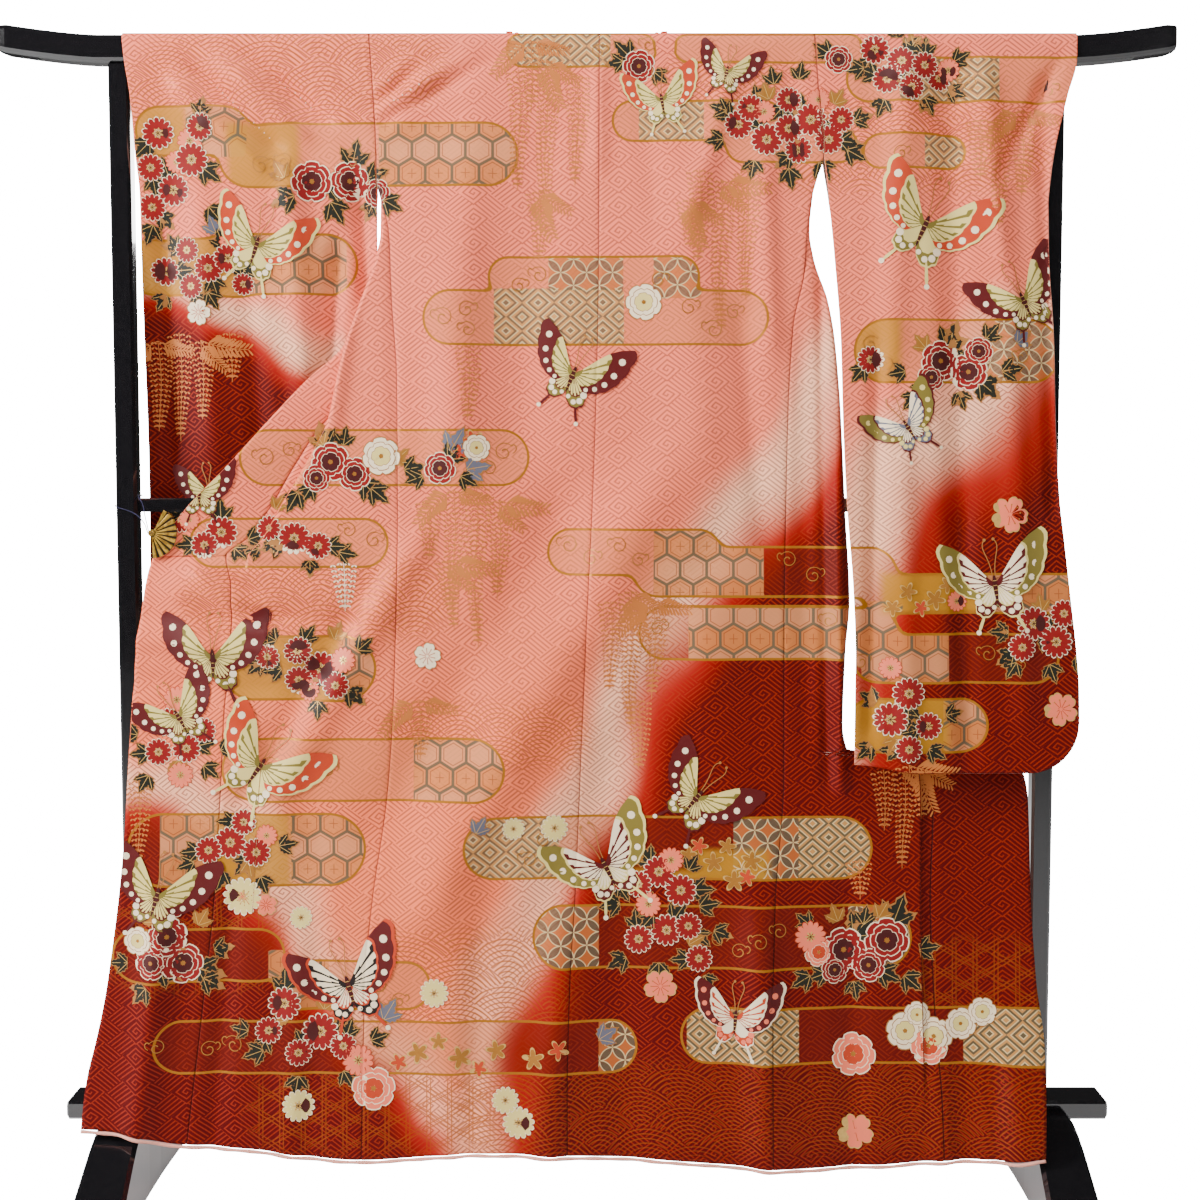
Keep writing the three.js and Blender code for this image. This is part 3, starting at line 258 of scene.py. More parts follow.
# A place on cloth laid over the rail: s is the length from the ridge, towards the viewer if positive.
def overRail(s, lift=0):
    s = np.asarray(s, dtype=float)
    flat = rail["halfDepth"] - rail["round"]
    radius = rail["round"] + behindRail - rail["halfDepth"]
    run = np.abs(s)
    angle = np.clip((run - flat) / radius, 0, math.pi / 2)
    out = np.where(run <= flat, run, flat + (radius + lift) * np.sin(angle))
    below = np.maximum(0, run - flat - radius * math.pi / 2)
    z = rail["top"] - rail["round"] + (radius + lift) * np.cos(angle) - below
    return -np.sign(s) * out, z


ridgeRuns = np.concatenate(([0.15], np.linspace(3, 29.2, 9)))
ridgeFlatZ = 1696.2  # the ridge's height on the cloth laid flat
fineLevels = np.concatenate((
    np.arange(1650, 668, -7.0), np.arange(668, 626, -3.0), np.arange(624, 84, -7.0), [nominalHem]))


# Places from 0 to 1 across a width, closer together beside the two seams.
def spread(width, pitch=6.5):
    near = np.array([0, 1.2, 2.6, 4.5]) / width
    middle = np.linspace(8 / width, 1 - 8 / width, max(3, int(width / pitch)))
    return np.concatenate((near, middle, 1 - near[::-1]))


# How far the cloth is drawn in beside a seam, by distance from it.
def seamDip(distance):
    return 1.1 * np.exp(-((distance / 2.4) ** 2))


# An object for a mesh, at the origin and unturned.
def newObject(name, mesh):
    piece = bpy.data.objects.new(name, mesh)
    scene.collection.objects.link(piece)
    return piece


# Faces of a grid: each joins a point to the next in its row and to the two in the row below. Closed rows
# join their last point to their first.
def gridFaces(rows, columns, start=0, flip=False, closed=False):
    r = np.arange(rows - 1)[:, None] * columns
    c = np.arange(columns if closed else columns - 1)[None, :]
    a = start + r + c
    b = start + r + (c + 1) % columns
    quads = np.stack((a, b, b + columns, a + columns), -1).reshape(-1, 4)
    return quads[:, ::-1] if flip else quads


# A mesh from points in millimetres: uv is the flat cloth in metres, slots are material numbers by face,
# values are fields by point that the materials read.
def meshOf(name, points, faces, uv=None, slots=None, values=None, flat=False):
    mesh = bpy.data.meshes.new(name)
    mesh.from_pydata((np.asarray(points) / 1000).tolist(), [], [tuple(map(int, f)) for f in faces])
    if uv is not None:
        layer = mesh.uv_layers.new(name="cloth")
        corner = np.zeros(len(mesh.loops), dtype=np.int32)
        mesh.loops.foreach_get("vertex_index", corner)
        layer.data.foreach_set("uv", np.asarray(uv, dtype=np.float32)[corner].ravel())
    if slots is not None:
        mesh.polygons.foreach_set("material_index", np.asarray(slots, dtype=np.int32))
    for key, value in (values or {}).items():
        attribute = mesh.attributes.new(key, "FLOAT", "POINT")
        attribute.data.foreach_set("value", np.asarray(value, dtype=np.float32))
    mesh.polygons.foreach_set("use_smooth", [not flat] * len(mesh.polygons))
    mesh.update()
    return mesh


# Unit normals of a grid, towards +Y where its columns run to +X and its rows run down.
def gridNormals(grid):
    normal = np.cross(np.gradient(grid, axis=1), np.gradient(grid, axis=0))
    return normal / np.maximum(np.linalg.norm(normal, axis=2, keepdims=True), 1e-9)


clothWall = 1.6


# A shell of cloth: the grid moved half the wall along its normals to each side, and a band round its edge.
# The printed side is the one along +normal if printed is 1. Slots: 0 printed, 1 lining, 2 the pale fold of
# a free edge, on the sides that pale names.
def clothShell(name, grid, flatPlaces, printed, part="body", pale="", seam=30.0):
    rows, columns = grid.shape[:2]
    normal = gridNormals(grid)
    face = (grid + printed * normal * clothWall / 2).reshape(-1, 3)
    back = (grid - printed * normal * clothWall / 2).reshape(-1, 3)
    count = rows * columns
    rim = np.concatenate((
        np.arange(columns), np.arange(1, rows) * columns + columns - 1,
        (rows - 1) * columns + np.arange(columns - 2, -1, -1), np.arange(rows - 2, 0, -1) * columns))
    nextRim = np.roll(rim, -1)
    band = np.stack((rim, nextRim, nextRim + count, rim + count), -1)
    flip = printed < 0
    faces = np.concatenate((
        gridFaces(rows, columns, 0, not flip), gridFaces(rows, columns, count, flip),
        band[:, ::-1] if flip else band))
    cells = (rows - 1) * (columns - 1)
    paleSides = [side in pale.split() for side in ("top", "last", "bottom", "first")]
    sideFaces = [columns - 1, rows - 1, columns - 1, rows - 1]
    slots = np.concatenate((np.zeros(cells), np.ones(cells), 2 * np.repeat(paleSides, sideFaces)))
    flatX, flatZ = flatPlaces
    uv = np.stack((flatX, flatZ), -1).reshape(-1, 2) / 1000
    fields = {**printFields(flatX, flatZ, part), "seam": np.minimum(seam, 30.0) + 0 * flatX}
    fields = {key: np.tile(value.ravel(), 2) for key, value in fields.items()}
    mesh = meshOf(name, np.concatenate((face, back)), faces, np.tile(uv, (2, 1)), slots, fields)
    return newObject(name, mesh)


# Clouds and fields of line work are long bars: x from, x to, height, radius. What fills a cloud is a box:
# x from, x to, z from, z to.
clouds = [
    (-606, -514, 1543, 34), (-479, -142, 1508, 44), (-622, -508, 1353, 39), (-508, -373, 1357, 42),
    (-89, 74, 1655, 24), (65, 251, 1555, 28), (222, 357, 1522, 25), (144, 370, 1657, 20), (-111, 131, 1336, 28),
    (-193, 219, 1278, 38), (-455, -122, 1080, 39), (-531, -317, 959, 34), (-23, 159, 946, 32),
    (102, 401, 918, 35), (112, 402, 831, 37), (-474, -346, 781, 45), (-475, -161, 636, 44),
    (-603, -368, 522, 51), (-130, 362, 525, 44), (-32, 418, 398, 44), (-411, -257, 330, 34),
    (-639, -468, 372, 37), (-578, 34, 241, 37), (174, 659, 258, 39), (399, 703, 1613, 31), (416, 513, 1512, 24),
    (423, 628, 1230, 44), (419, 715, 889, 27), (409, 630, 798, 34), (402, 527, 704, 37),
]
hexagons = [
    (-569, -482, 1506, 1579), (-294, -96, 1458, 1554), (-494, -345, 1312, 1402), (95, 252, 878, 983),
    (145, 444, 787, 878), (-350, -296, 733, 830), (-247, -111, 588, 684), (-422, -311, 465, 576),
    (-608, -531, 465, 576), (565, 708, 861, 918), (387, 509, 761, 835), (501, 570, 664, 747),
    (-454, -368, 291, 379),
]
diamonds = [
    (-113, 34, 1627, 1682), (74, 166, 1523, 1587), (-132, 53, 1235, 1320), (441, 583, 1579, 1646),
    (477, 544, 1484, 1543), (-180, -40, 476, 572), (302, 409, 476, 572), (143, 302, 214, 304),
    (538, 659, 214, 304),
]
rings = [
    (-54, 52, 1317, 1368), (95, 162, 1305, 1368), (209, 302, 476, 572), (-79, 17, 351, 444),
    (374, 462, 351, 444), (564, 674, 1183, 1275), (17, 81, 200, 283),
]
gilt = [
    (-662, -569, 1506, 1579), (-664, -494, 1309, 1396), (-510, -408, 1458, 1554), (145, 259, 474, 522),
    (-40, 160, 474, 493), (359, 509, 664, 747), (-531, -422, 465, 576), (416, 565, 861, 918),
    (-517, -351, 733, 830), (365, 443, 1182, 1278),
]
waves = [
    (-600, -400, 1560, 90), (-560, -250, 1630, 60), (330, 600, 1520, 70), (-520, -250, 880, 60),
    (-492, -365, 1606, 48), (-126, 645, 154, 68), (-240, -40, 686, 51), (144, 243, 1613, 42),
    (-240, -97, 330, 85),
]
lattice = [
    (-625, -497, 387, 63), (-425, -183, 149, 56), (531, 616, 337, 56),
]
flowers = [
    ("mum", "red",
     (-609, 1540, 20), (-562, 1503, 21), (-621, 1492, 17), (-549, 1548, 17), (-590, 1461, 20), (-621, 1437, 17),
     (-607, 1348, 18), (-569, 1326, 16), (-542, 1351, 18), (-573, 1377, 16), (-514, 1365, 18), (-494, 1329, 14),
     (-521, 974, 20), (-578, 992, 16), (-545, 956, 17), (-416, 966, 20), (-382, 955, 17), (-453, 980, 16),
     (-379, 781, 21), (-410, 764, 18), (-356, 758, 17), (-410, 807, 17), (-453, 798, 16), (-596, 704, 18),
     (-570, 667, 18), (-610, 662, 17), (-546, 693, 16), (-508, 533, 20), (-471, 519, 18), (-539, 522, 17),
     (-489, 562, 16), (-431, 304, 21), (-380, 263, 23), (-411, 234, 17), (-454, 265, 17), (-347, 243, 17),
     (103, 491, 20), (134, 465, 20), (74, 472, 17), (114, 408, 20), (74, 394, 18), (145, 414, 17),
     (160, 368, 17), (38, 479, 16), (401, 1218, 17), (452, 750, 20), (427, 713, 21), (480, 704, 17),
     (452, 672, 17), (629, 847, 21), (661, 821, 20), (612, 814, 17), (672, 861, 17), (215, 1550, 18),
     (255, 1529, 20), (232, 1573, 17), (286, 1545, 18), (317, 1557, 20), (343, 1529, 18), (360, 1557, 16),
     (300, 1515, 17), (286, 1585, 16), (407, 1655, 18), (444, 1638, 18), (424, 1613, 18), (477, 1632, 17),
     (458, 1601, 16), (498, 1615, 16),),
    ("mum", "pink",
     (-564, 1529, 16), (-584, 1500, 14), (-511, 1388, 13), (-566, 992, 13), (-396, 750, 14), (-346, 793, 16),
     (-584, 736, 17), (-579, 629, 16), (-456, 543, 14), (-326, 223, 20), (120, 508, 16), (88, 444, 16),
     (319, 399, 20), (522, 878, 13), (427, 785, 14), (251, 1568, 14), (328, 1585, 14), (512, 1627, 14),),
    ("mum", "white",
     (-411, 158, 20), (-116, 166, 17), (-97, 134, 20), (-46, 553, 17), (-104, 553, 14), (-408, 425, 14),
     (-491, 456, 24), (-217, 320, 18),),
    ("peony", "red",
     (-391, 1472, 25), (-337, 1472, 24), (-298, 1455, 17), (-364, 1074, 24), (-330, 1057, 21), (-384, 1051, 17),
     (-208, 1065, 20), (-596, 401, 24), (-575, 362, 25), (-618, 365, 21), (-585, 444, 14), (367, 379, 28),
     (428, 394, 28), (402, 358, 21), (354, 351, 17), (500, 1216, 25), (540, 1201, 23), (486, 1193, 17),
     (554, 1230, 17), (74, 1632, 20), (356, 1641, 17),),
    ("peony", "white",
     (-292, 1082, 24), (81, 1300, 23), (454, 265, 24), (495, 257, 24), (534, 274, 20), (565, 291, 18),
     (471, 288, 17), (-639, 394, 18), (-156, 1094, 17),),
    ("peony", "pink",
     (381, 230, 27), (488, 243, 23), (-304, 183, 27), (331, 377, 18),),
    ("blossom", "white",
     (-227, 798, 21), (-559, 1289, 20),),
    ("blossom", "pink",
     (596, 1000, 27), (105, 328, 25), (384, 120, 27), (667, 727, 25), (-488, 454, 21),
     (-457, 444, 17, 3.5824),),
    ("maple", "gold",
     (181, 505, 16), (210, 479, 17), (234, 508, 16), (200, 528, 14), (451, 892, 14), (490, 881, 16),
     (430, 869, 13), (508, 901, 13), (-240, 234, 17), (-180, 228, 18), (-129, 237, 16), (-76, 225, 17),
     (-211, 251, 14), (145, 515, 13),),
    ("maple", "rust",
     (228, 485, 14), (160, 528, 14), (470, 869, 13), (-154, 211, 14), (-40, 240, 16), (-268, 220, 14),
     (-161, 1105, 16), (-179, 1088, 13),),
    ("leaf", "green",
     (-415, 1451, 23, 200), (-366, 1444, 23, 300), (-312, 1475, 21, 20), (-288, 1444, 20, 330),
     (-621, 1413, 20, 250), (-642, 1472, 17, 180), (-539, 1437, 20, 310), (-608, 1315, 17, 240),
     (-544, 1317, 18, 300), (-494, 1348, 17, 20), (-590, 1379, 16, 120), (-410, 1031, 21, 240),
     (-307, 1037, 21, 320), (-346, 1097, 18, 80), (-260, 1063, 20, 10), (-232, 1054, 18, 200),
     (-179, 1054, 18, 330), (-484, 963, 18, 20), (-598, 974, 18, 190), (-503, 952, 17, 320),
     (-353, 946, 18, 350), (-464, 952, 17, 200), (-393, 935, 16, 270), (-433, 781, 20, 190),
     (-339, 750, 20, 320), (-382, 736, 18, 270), (-325, 807, 18, 40), (-439, 821, 17, 150),
     (-624, 629, 18, 240), (-546, 643, 18, 320), (-639, 686, 17, 170), (-522, 664, 17, 20),
     (-518, 493, 20, 250), (-465, 485, 18, 290), (-439, 528, 18, 10), (-559, 505, 17, 200),
     (-625, 330, 20, 230), (-547, 340, 21, 330), (-654, 362, 17, 180), (-532, 379, 18, 10),
     (-461, 237, 20, 200), (-411, 201, 20, 260), (-347, 208, 18, 300), (-308, 251, 18, 20),
     (-482, 265, 17, 170), (48, 444, 20, 190), (95, 429, 18, 230), (160, 442, 20, 10), (181, 408, 18, 340),
     (57, 368, 20, 210), (103, 362, 18, 270), (167, 344, 17, 300), (145, 493, 17, 60), (319, 344, 20, 210),
     (381, 334, 18, 280), (452, 344, 21, 320), (474, 379, 20, 10), (395, 415, 18, 80), (319, 415, 17, 140),
     (465, 1169, 18, 230), (526, 1173, 18, 290), (585, 1201, 20, 10), (564, 1247, 18, 50), (450, 1201, 17, 190),
     (409, 736, 18, 150), (402, 676, 18, 220), (480, 672, 18, 330), (504, 719, 17, 10), (594, 835, 18, 180),
     (651, 790, 18, 290), (687, 800, 17, 320), (604, 793, 17, 240), (194, 1529, 18, 190), (237, 1500, 18, 260),
     (286, 1489, 20, 280), (329, 1498, 20, 300), (368, 1515, 20, 330), (378, 1554, 18, 20),
     (198, 1568, 17, 160), (265, 1606, 17, 100), (300, 1613, 17, 80), (392, 1629, 17, 190),
     (420, 1585, 18, 250), (477, 1587, 18, 300), (519, 1638, 17, 30), (438, 1671, 17, 90), (512, 1599, 17, 340),
     (52, 1638, 16, 190), (95, 1624, 16, 320),),
    ("leaf", "gold",
     (-429, 1475, 18, 120), (-275, 1074, 18, 40), (-374, 1097, 17, 120), (-566, 1013, 17, 100),
     (-445, 1006, 16, 60), (-360, 821, 17, 70), (-582, 650, 17, 270), (-482, 508, 17, 280),
     (-611, 422, 17, 140), (-554, 415, 17, 60), (-375, 294, 18, 80), (-425, 280, 17, 150), (74, 501, 17, 120),
     (145, 387, 17, 30), (416, 425, 17, 60), (359, 419, 17, 110), (514, 1240, 17, 70), (479, 1233, 16, 130),
     (437, 686, 17, 240), (641, 864, 16, 100), (258, 1585, 16, 110), (350, 1578, 16, 60), (462, 1657, 16, 100),
     (412, 1682, 14, 80),),
    ("leaf", "slate",
     (-193, 1088, 25, 60), (-171, 1063, 23, 10), (-290, 280, 23, 60), (17, 251, 20, 30), (-157, 548, 18, 60),
     (606, 1240, 18, 40), (-529, 1399, 18, 110),),
]
butterflies = [
    (-472, 1384, 96, -20, "cream"),
    (-552, 1031, 70, 4, "maroon"),
    (-531, 798, 102, 0, "maroon"),
    (-582, 713, 85, 30, "maroon"),
    (-465, 642, 110, -35, "cream"),
    (-611, 459, 102, -15, "maroon"),
    (-340, 331, 110, 17, "dark"),
    (-19, 1199, 94, -23, "maroon"),
    (106, 1585, 73, 10, "cream"),
    (198, 1624, 62, -15, "maroon"),
    (158, 599, 96, -39, "maroon"),
    (26, 499, 107, 27, "olive"),
    (212, 285, 85, -5, "white"),
    (478, 1408, 116, -25, "cream"),
    (616, 1303, 93, 27, "maroon"),
    (451, 1125, 76, 32, "slate"),
    (575, 903, 104, 8, "olive"),
]
wisteria = [
    (-622, 1249, 130), (-591, 1261, 156), (-557, 1249, 113), (-96, 1627, 169), (-57, 1641, 228),
    (-14, 1620, 156), (-79, 1668, 97), (159, 1486, 129), (190, 1472, 211), (227, 1486, 183), (145, 1444, 70),
    (-168, 1240, 107), (-189, 1034, 199), (-157, 1048, 238), (-125, 1020, 142), (-225, 1020, 85),
    (63, 892, 196), (34, 878, 128), (95, 878, 142), (74, 736, 100), (452, 650, 154), (423, 636, 86),
    (476, 643, 78), (583, 1557, 155), (617, 1571, 127), (555, 1557, 85), (-197, 935, 71), (-639, 622, 114),
    (-68, 1458, 98), (-516, 1261, 71), (-239, 736, 86), (388, 508, 57),
]
scrolls = [
    (-462, 1493, 20, 0), (-429, 1500, 17, 1), (-203, 1278, 21, 1), (-170, 1289, 18, 0), (-168, 1261, 17, 1),
    (145, 1292, 18, 0), (180, 1261, 20, 1), (209, 1286, 17, 0), (-459, 1080, 21, 1), (-424, 1091, 17, 0),
    (-118, 1088, 20, 0), (-139, 1065, 17, 1), (-26, 956, 20, 1), (6, 938, 18, 0), (45, 956, 18, 1),
    (74, 935, 16, 0), (287, 935, 18, 1), (323, 913, 18, 0), (345, 849, 17, 1), (102, 838, 17, 0),
    (-482, 781, 18, 1), (-496, 800, 14, 0), (-83, 508, 18, 1), (-61, 536, 17, 0), (-303, 963, 18, 0),
    (-339, 977, 17, 1), (-425, 330, 17, 0), (-297, 330, 20, 1), (-268, 308, 17, 0), (-504, 244, 20, 1),
    (-540, 237, 18, 0), (401, 1240, 18, 0), (422, 1211, 17, 1), (614, 1221, 17, 1), (387, 793, 17, 0),
    (565, 804, 18, 1), (601, 785, 17, 0), (88, 1662, 17, 1), (17, 1652, 16, 0), (102, 1331, 17, 0),
    (-68, 1339, 18, 1), (-97, 1324, 17, 0), (245, 394, 18, 1), (217, 379, 17, 0), (274, 408, 17, 1),
    (188, 394, 17, 0), (-375, 800, 14, 1), (-611, 244, 17, 1), (442, 1508, 16, 0), (540, 1606, 17, 1),
    (654, 1599, 17, 0), (-368, 636, 17, 0), (-425, 622, 17, 1), (-453, 643, 17, 0),
]

# Signed distance to long rounded bars, negative inside, with soft necks where two meet.
def barsAt(bars, x, z, soft=14):
    best = np.full(np.shape(x), 120.0)
    for fromX, toX, level, radius in bars:
        gap = np.hypot(x - np.clip(x, fromX, toX), z - level) - radius
        blend = np.clip(0.5 + 0.5 * (best - gap) / soft, 0, 1)
        best = mix(best, gap, blend) - soft * blend * (1 - blend)
    return best


# Signed distance to boxes, negative inside.
def boxesAt(boxes, x, z):
    best = np.full(np.shape(x), 120.0)
    for fromX, toX, fromZ, toZ in boxes:
        across = np.abs(x - (fromX + toX) / 2) - (toX - fromX) / 2
        up = np.abs(z - (fromZ + toZ) / 2) - (toZ - fromZ) / 2
        best = np.minimum(best, np.maximum(across, up))
    return best


# Signed distance to a line of points: positive on the right of the way it runs.
def besideLine(points, x, z):
    best = np.full(np.shape(x), 1e9)
    side = np.zeros(np.shape(x))
    for (ax, az), (bx, bz) in zip(points[:-1], points[1:]):
        ux, uz = bx - ax, bz - az
        t = np.clip(((x - ax) * ux + (z - az) * uz) / (ux * ux + uz * uz), 0, 1)
        gap = np.hypot(x - ax - t * ux, z - az - t * uz)
        nearer = gap < best
        best = np.where(nearer, gap, best)
        side = np.where(nearer, (x - ax) * uz - (z - az) * ux, side)
    return best * np.sign(side)


# Where red meets the pale band: the red lies on the left of each line as it runs. Widths of the fade.
dyeLines = {
    "bodyRight": ([
        (420, 1330), (330, 1120), (215, 965), (145, 890), (52, 712), (20, 600), (-50, 460), (-102, 345),
        (-128, 245), (-165, 20)], 130),
    "bodyLeft": ([
        (-172, 20), (-184, 120), (-240, 195), (-322, 270), (-385, 350), (-430, 450), (-480, 540),
        (-580, 600), (-850, 610)], 120),
    "sleeveRight": ([
        (760, 1280), (640, 1225), (530, 1115), (450, 1045), (405, 945), (352, 850), (340, 500)], 185),
    "sleeveLeft": ([
        (-300, 1130), (-385, 1215), (-450, 1262), (-560, 1305), (-640, 1322), (-800, 1330)], 80),
}


# How far into the red a place is, -1 to 1, as the cloth lies flat: two fields on the body, one on a sleeve.
def dyeAt(x, z, part="body"):
    wobble = 12 * np.sin(x / 47 + z / 61) + 7 * np.sin(x / 23 - z / 37)
    names = ("bodyRight", "bodyLeft") if part == "body" else (part,)
    fields = [(wobble - besideLine(dyeLines[name][0], x, z)) / dyeLines[name][1] for name in names]
    return np.clip(np.max(fields, axis=0), -1, 1)


# Every field that the dyed silk's material reads, at places of the flat print.
def printFields(x, z, part="body"):
    values = {"dye": dyeAt(x, z, part), "cloud": barsAt(clouds, x, z)}
    for name, boxes in (("hexagons", hexagons), ("diamonds", diamonds), ("rings", rings), ("gilt", gilt)):
        values[name] = boxesAt(boxes, x, z)
    values["waves"], values["lattice"] = barsAt(waves, x, z, 60), barsAt(lattice, x, z, 60)
    return values


# A back: three grids of the same columns, from the neck over the rail's rounded top, down its front, and
# down the hang. Columns run between two seams at every level, in shares u of the width.
def backPanel(name, leftEdge, rightEdge, stops):
    firstX, lastX = (float(read(edge, "x", hang["from"])) for edge in (leftEdge, rightEdge))
    width = lastX - firstX
    u = np.unique(np.concatenate((spread(width), [(x - firstX) / width for x in stops])))[None, :]
    across = lambda level: mix(read(leftEdge, "x", level) + 0.02, read(rightEdge, "x", level) - 0.02, u)
    edge = np.minimum(u, 1 - u) * width
    neckRun = np.concatenate(([-43.5], np.linspace(-36, -4, 11)))[:, None]
    shoulderRun = np.linspace(0.15, 2.6, 12)[:, None]
    xTop = across(hang["from"]) + 0 * neckRun
    turn = np.clip((np.abs(xTop) - neckHalf) / neckCorner, 0, 1)
    y1, z1 = overRail(mix(neckRun, shoulderRun, turn), 4 * np.sin(math.pi * turn))
    y2, z2 = overRail(ridgeRuns[1:, None] + 0 * u)
    x2 = across(z2[:, :1])
    level = fineLevels[:, None]
    x3 = across(level)
    z3 = levelZ(level, x3)
    y3 = hangY(x3, z3) + seamDip(edge)
    grids = ((xTop, y1, z1), (x2, y2, z2), (x3, y3, z3))
    grid = np.concatenate([np.stack(places, -1) for places in grids])
    flatZ = np.concatenate((ridgeFlatZ - neckRun + 0 * u, ridgeFlatZ - ridgeRuns[1:, None] + 0 * u, z3))
    seam = np.concatenate((edge + 0 * xTop, edge + 0 * x2, edge + 0 * x3))
    return clothShell(name, grid, (grid[..., 0], flatZ), -1, seam=seam)


# Y of the front layer of a front panel: behind the rail at the top, then forward to the body's hang.
def frontY(half, x, z, folded=1):
    joined = smooth((clearOfRail - z) / (clearOfRail - half["frontJoin"]))
    return mix(behindRail, hangY(x, z, folded), joined)


# A front's edges at a level: its seam, just past the back's edge, its fold, tuck, okumi seam and gap.
def planRow(half, level):
    row = {name: read(half["plan"], name, level) for name in ("inset", "fold", "tuck", "okumi", "gap")}
    row["seam"] = read(half["backEdge"], "x", level) + half["side"] * (0.02 - row["inset"])
    return row


# The way across a front at each level: x and the layer it lies in, out to the fold, back to the tuck and
# out to the okumi seam, with round turns.
def zigzag(row):
    turn = np.maximum(row["gap"] / 2, 1.6)
    heading = lambda a, b: np.clip((b - a) / 6, -1, 1)
    ways = (("seam", "fold"), ("fold", "tuck"), ("tuck", "okumi"))
    out, back, on = (heading(row[a], row[b]) for a, b in ways)
    stops = [
        (row["seam"], 0), (row["fold"] - turn * out, 0), (row["fold"], 0.5), (row["fold"] + turn * back, 1),
        (row["tuck"] - turn * back, 1), (row["tuck"], 1.5), (row["tuck"] + turn * on, 2), (row["okumi"], 2)]
    outward = np.concatenate(([0, 0.006, 0.013, 0.022], np.linspace(0.04, 0.972, 30), [0.984]))
    runs = [outward] + [np.linspace(0, 1, count, endpoint=False) for count in (3, 3, 22, 3, 3, 10)]
    xs, layers = [], []
    for t, (x0, l0), (x1, l1) in zip(runs, stops[:-1], stops[1:]):
        xs.append(mix(x0, x1, t[None, :]))
        layers.append(mix(l0, l1, t[None, :]) + 0 * x0)
    xs.append(stops[-1][0] + np.zeros((1, 1)))
    layers.append(2 + 0 * stops[-1][0])
    return np.concatenate(xs, axis=1), np.concatenate(layers, axis=1)


# A front: the zigzag at every level, laid over the rail's back half and then down the hang, each layer set
# back by the gap. Its flat width is the way travelled along the zigzag.
def frontPanel(name, half):
    side = half["side"]
    ridgeRow = planRow(half, np.array([[float(hang["from"])]]))
    top = {key: value + 0 * ridgeRuns[:, None] for key, value in ridgeRow.items()}
    xTop, layerTop = zigzag(top)
    yTop, zTop = overRail(-ridgeRuns[:, None] + 0 * xTop, layerTop * top["gap"])
    level = fineLevels[:, None]
    row = planRow(half, level)
    x, layer = zigzag(row)
    z = levelZ(level, x)
    folded = 1 - np.clip(layer, 0, 1) * np.clip(row["gap"] / 4, 0, 1)
    y = frontY(half, x, z, folded) + layer * row["gap"] + seamDip(np.abs(x - row["seam"])) * (layer < 0.1)
    y = y + seamDip(np.abs(x - row["okumi"])) * (layer > 1.9) * np.clip(1 - row["gap"], 0, 1)
    grid = np.concatenate((np.stack((xTop, yTop, zTop), -1), np.stack((x, y, z), -1)))
    allX = np.concatenate((xTop, x))
    steps = np.abs(np.diff(allX, axis=1))
    travel = np.concatenate((np.zeros((len(allX), 1)), np.cumsum(steps, axis=1)), axis=1)
    flatX = allX[:, :1] + side * travel
    flatZ = np.concatenate((ridgeFlatZ + ridgeRuns[:, None] + 0 * xTop, z))
    farFromEnd = np.arange(allX.shape[1]) < allX.shape[1] - 12
    seam = np.minimum(travel, np.abs(allX - allX[:, -1:]) + 30 * farFromEnd)
    return clothShell(name, grid, (flatX, flatZ), -side, seam=seam)


# A strip from a seam out to a free edge, level by level, each side given as x, drop below the level and
# depth behind the body's hang.
def strip(name, half, levels, seam, edge, columns, crown=0):
    level = levels[:, None]
    gap = planRow(half, level)["gap"]
    folded = 1 - np.clip(gap / 4, 0, 1)
    u = columns[None, :]
    x, drop, back = (mix(seam[key][:, None], edge[key][:, None], u) for key in ("x", "drop", "back"))
    z = levelZ(level, x) - drop
    dip = seamDip(np.abs(x - seam["x"][:, None])) * np.clip(1 - gap, 0, 1)
    y = hangY(x, z, folded) + back - crown * np.sin(math.pi * u) + dip
    grid = np.stack((x, y, z), -1)
    return clothShell(name, grid, (x, z), -half["side"], pale="last", seam=np.abs(x - seam["x"][:, None]))


# A free edge at each level, from its table.
def freeEdge(rows, level):
    return {key: read(rows, key, level) for key in ("x", "drop", "back")}


# The okumi seam of a front, a seam's gap past its edge. Where the strip sewn to it twists away it lies
# behind the edge instead.
def okumiSeam(half, level):
    row = planRow(half, level)
    twist = smooth((level - 1400) / 135)
    slant = (read(half["plan"], "okumi", level + 3) - read(half["plan"], "okumi", level - 3)) / 6
    x = row["okumi"] + half["side"] * (0.05 * np.hypot(1, slant) + 1.2 * twist)
    z = levelZ(level, x)
    back = frontY(half, x, z, 0) - hangY(x, z, 0) + 2 * row["gap"] + 2.8 * twist
    return {"x": x, "drop": 0 * x, "back": back}


# The levels of a strip between its ends.
def stripLevels(top, bottom):
    inside = fineLevels[(fineLevels < top - 1) & (fineLevels > bottom + 1)]
    return np.concatenate(([top], inside, [bottom])).astype(float)


# A collar: the strip from the okumi seam to its free edge. The right one is sewn to the okumi's free edge
# below the okumi's top and eases over to it above.
def collar(name, half):
    levels = stripLevels(1650, half["collarEnd"])
    seam = okumiSeam(half, levels)
    if half["side"] > 0:
        join = freeEdge(half["okumiEdge"], levels)
        below = levels < half["okumiTop"]
        along = smooth((half["okumiTop"] + 60 - levels) / 60)
        past = {"x": (0.8, 1.6), "drop": (0, 0), "back": (0, 0)}
        seam = {key: np.where(below, join[key] + low, mix(seam[key], join[key] + high, along))
                for key, (low, high) in past.items()}
    columns = np.linspace(0, 1, 18)
    return strip(name, half, levels, seam, freeEdge(half["collarEdge"], levels), columns, 1.2)


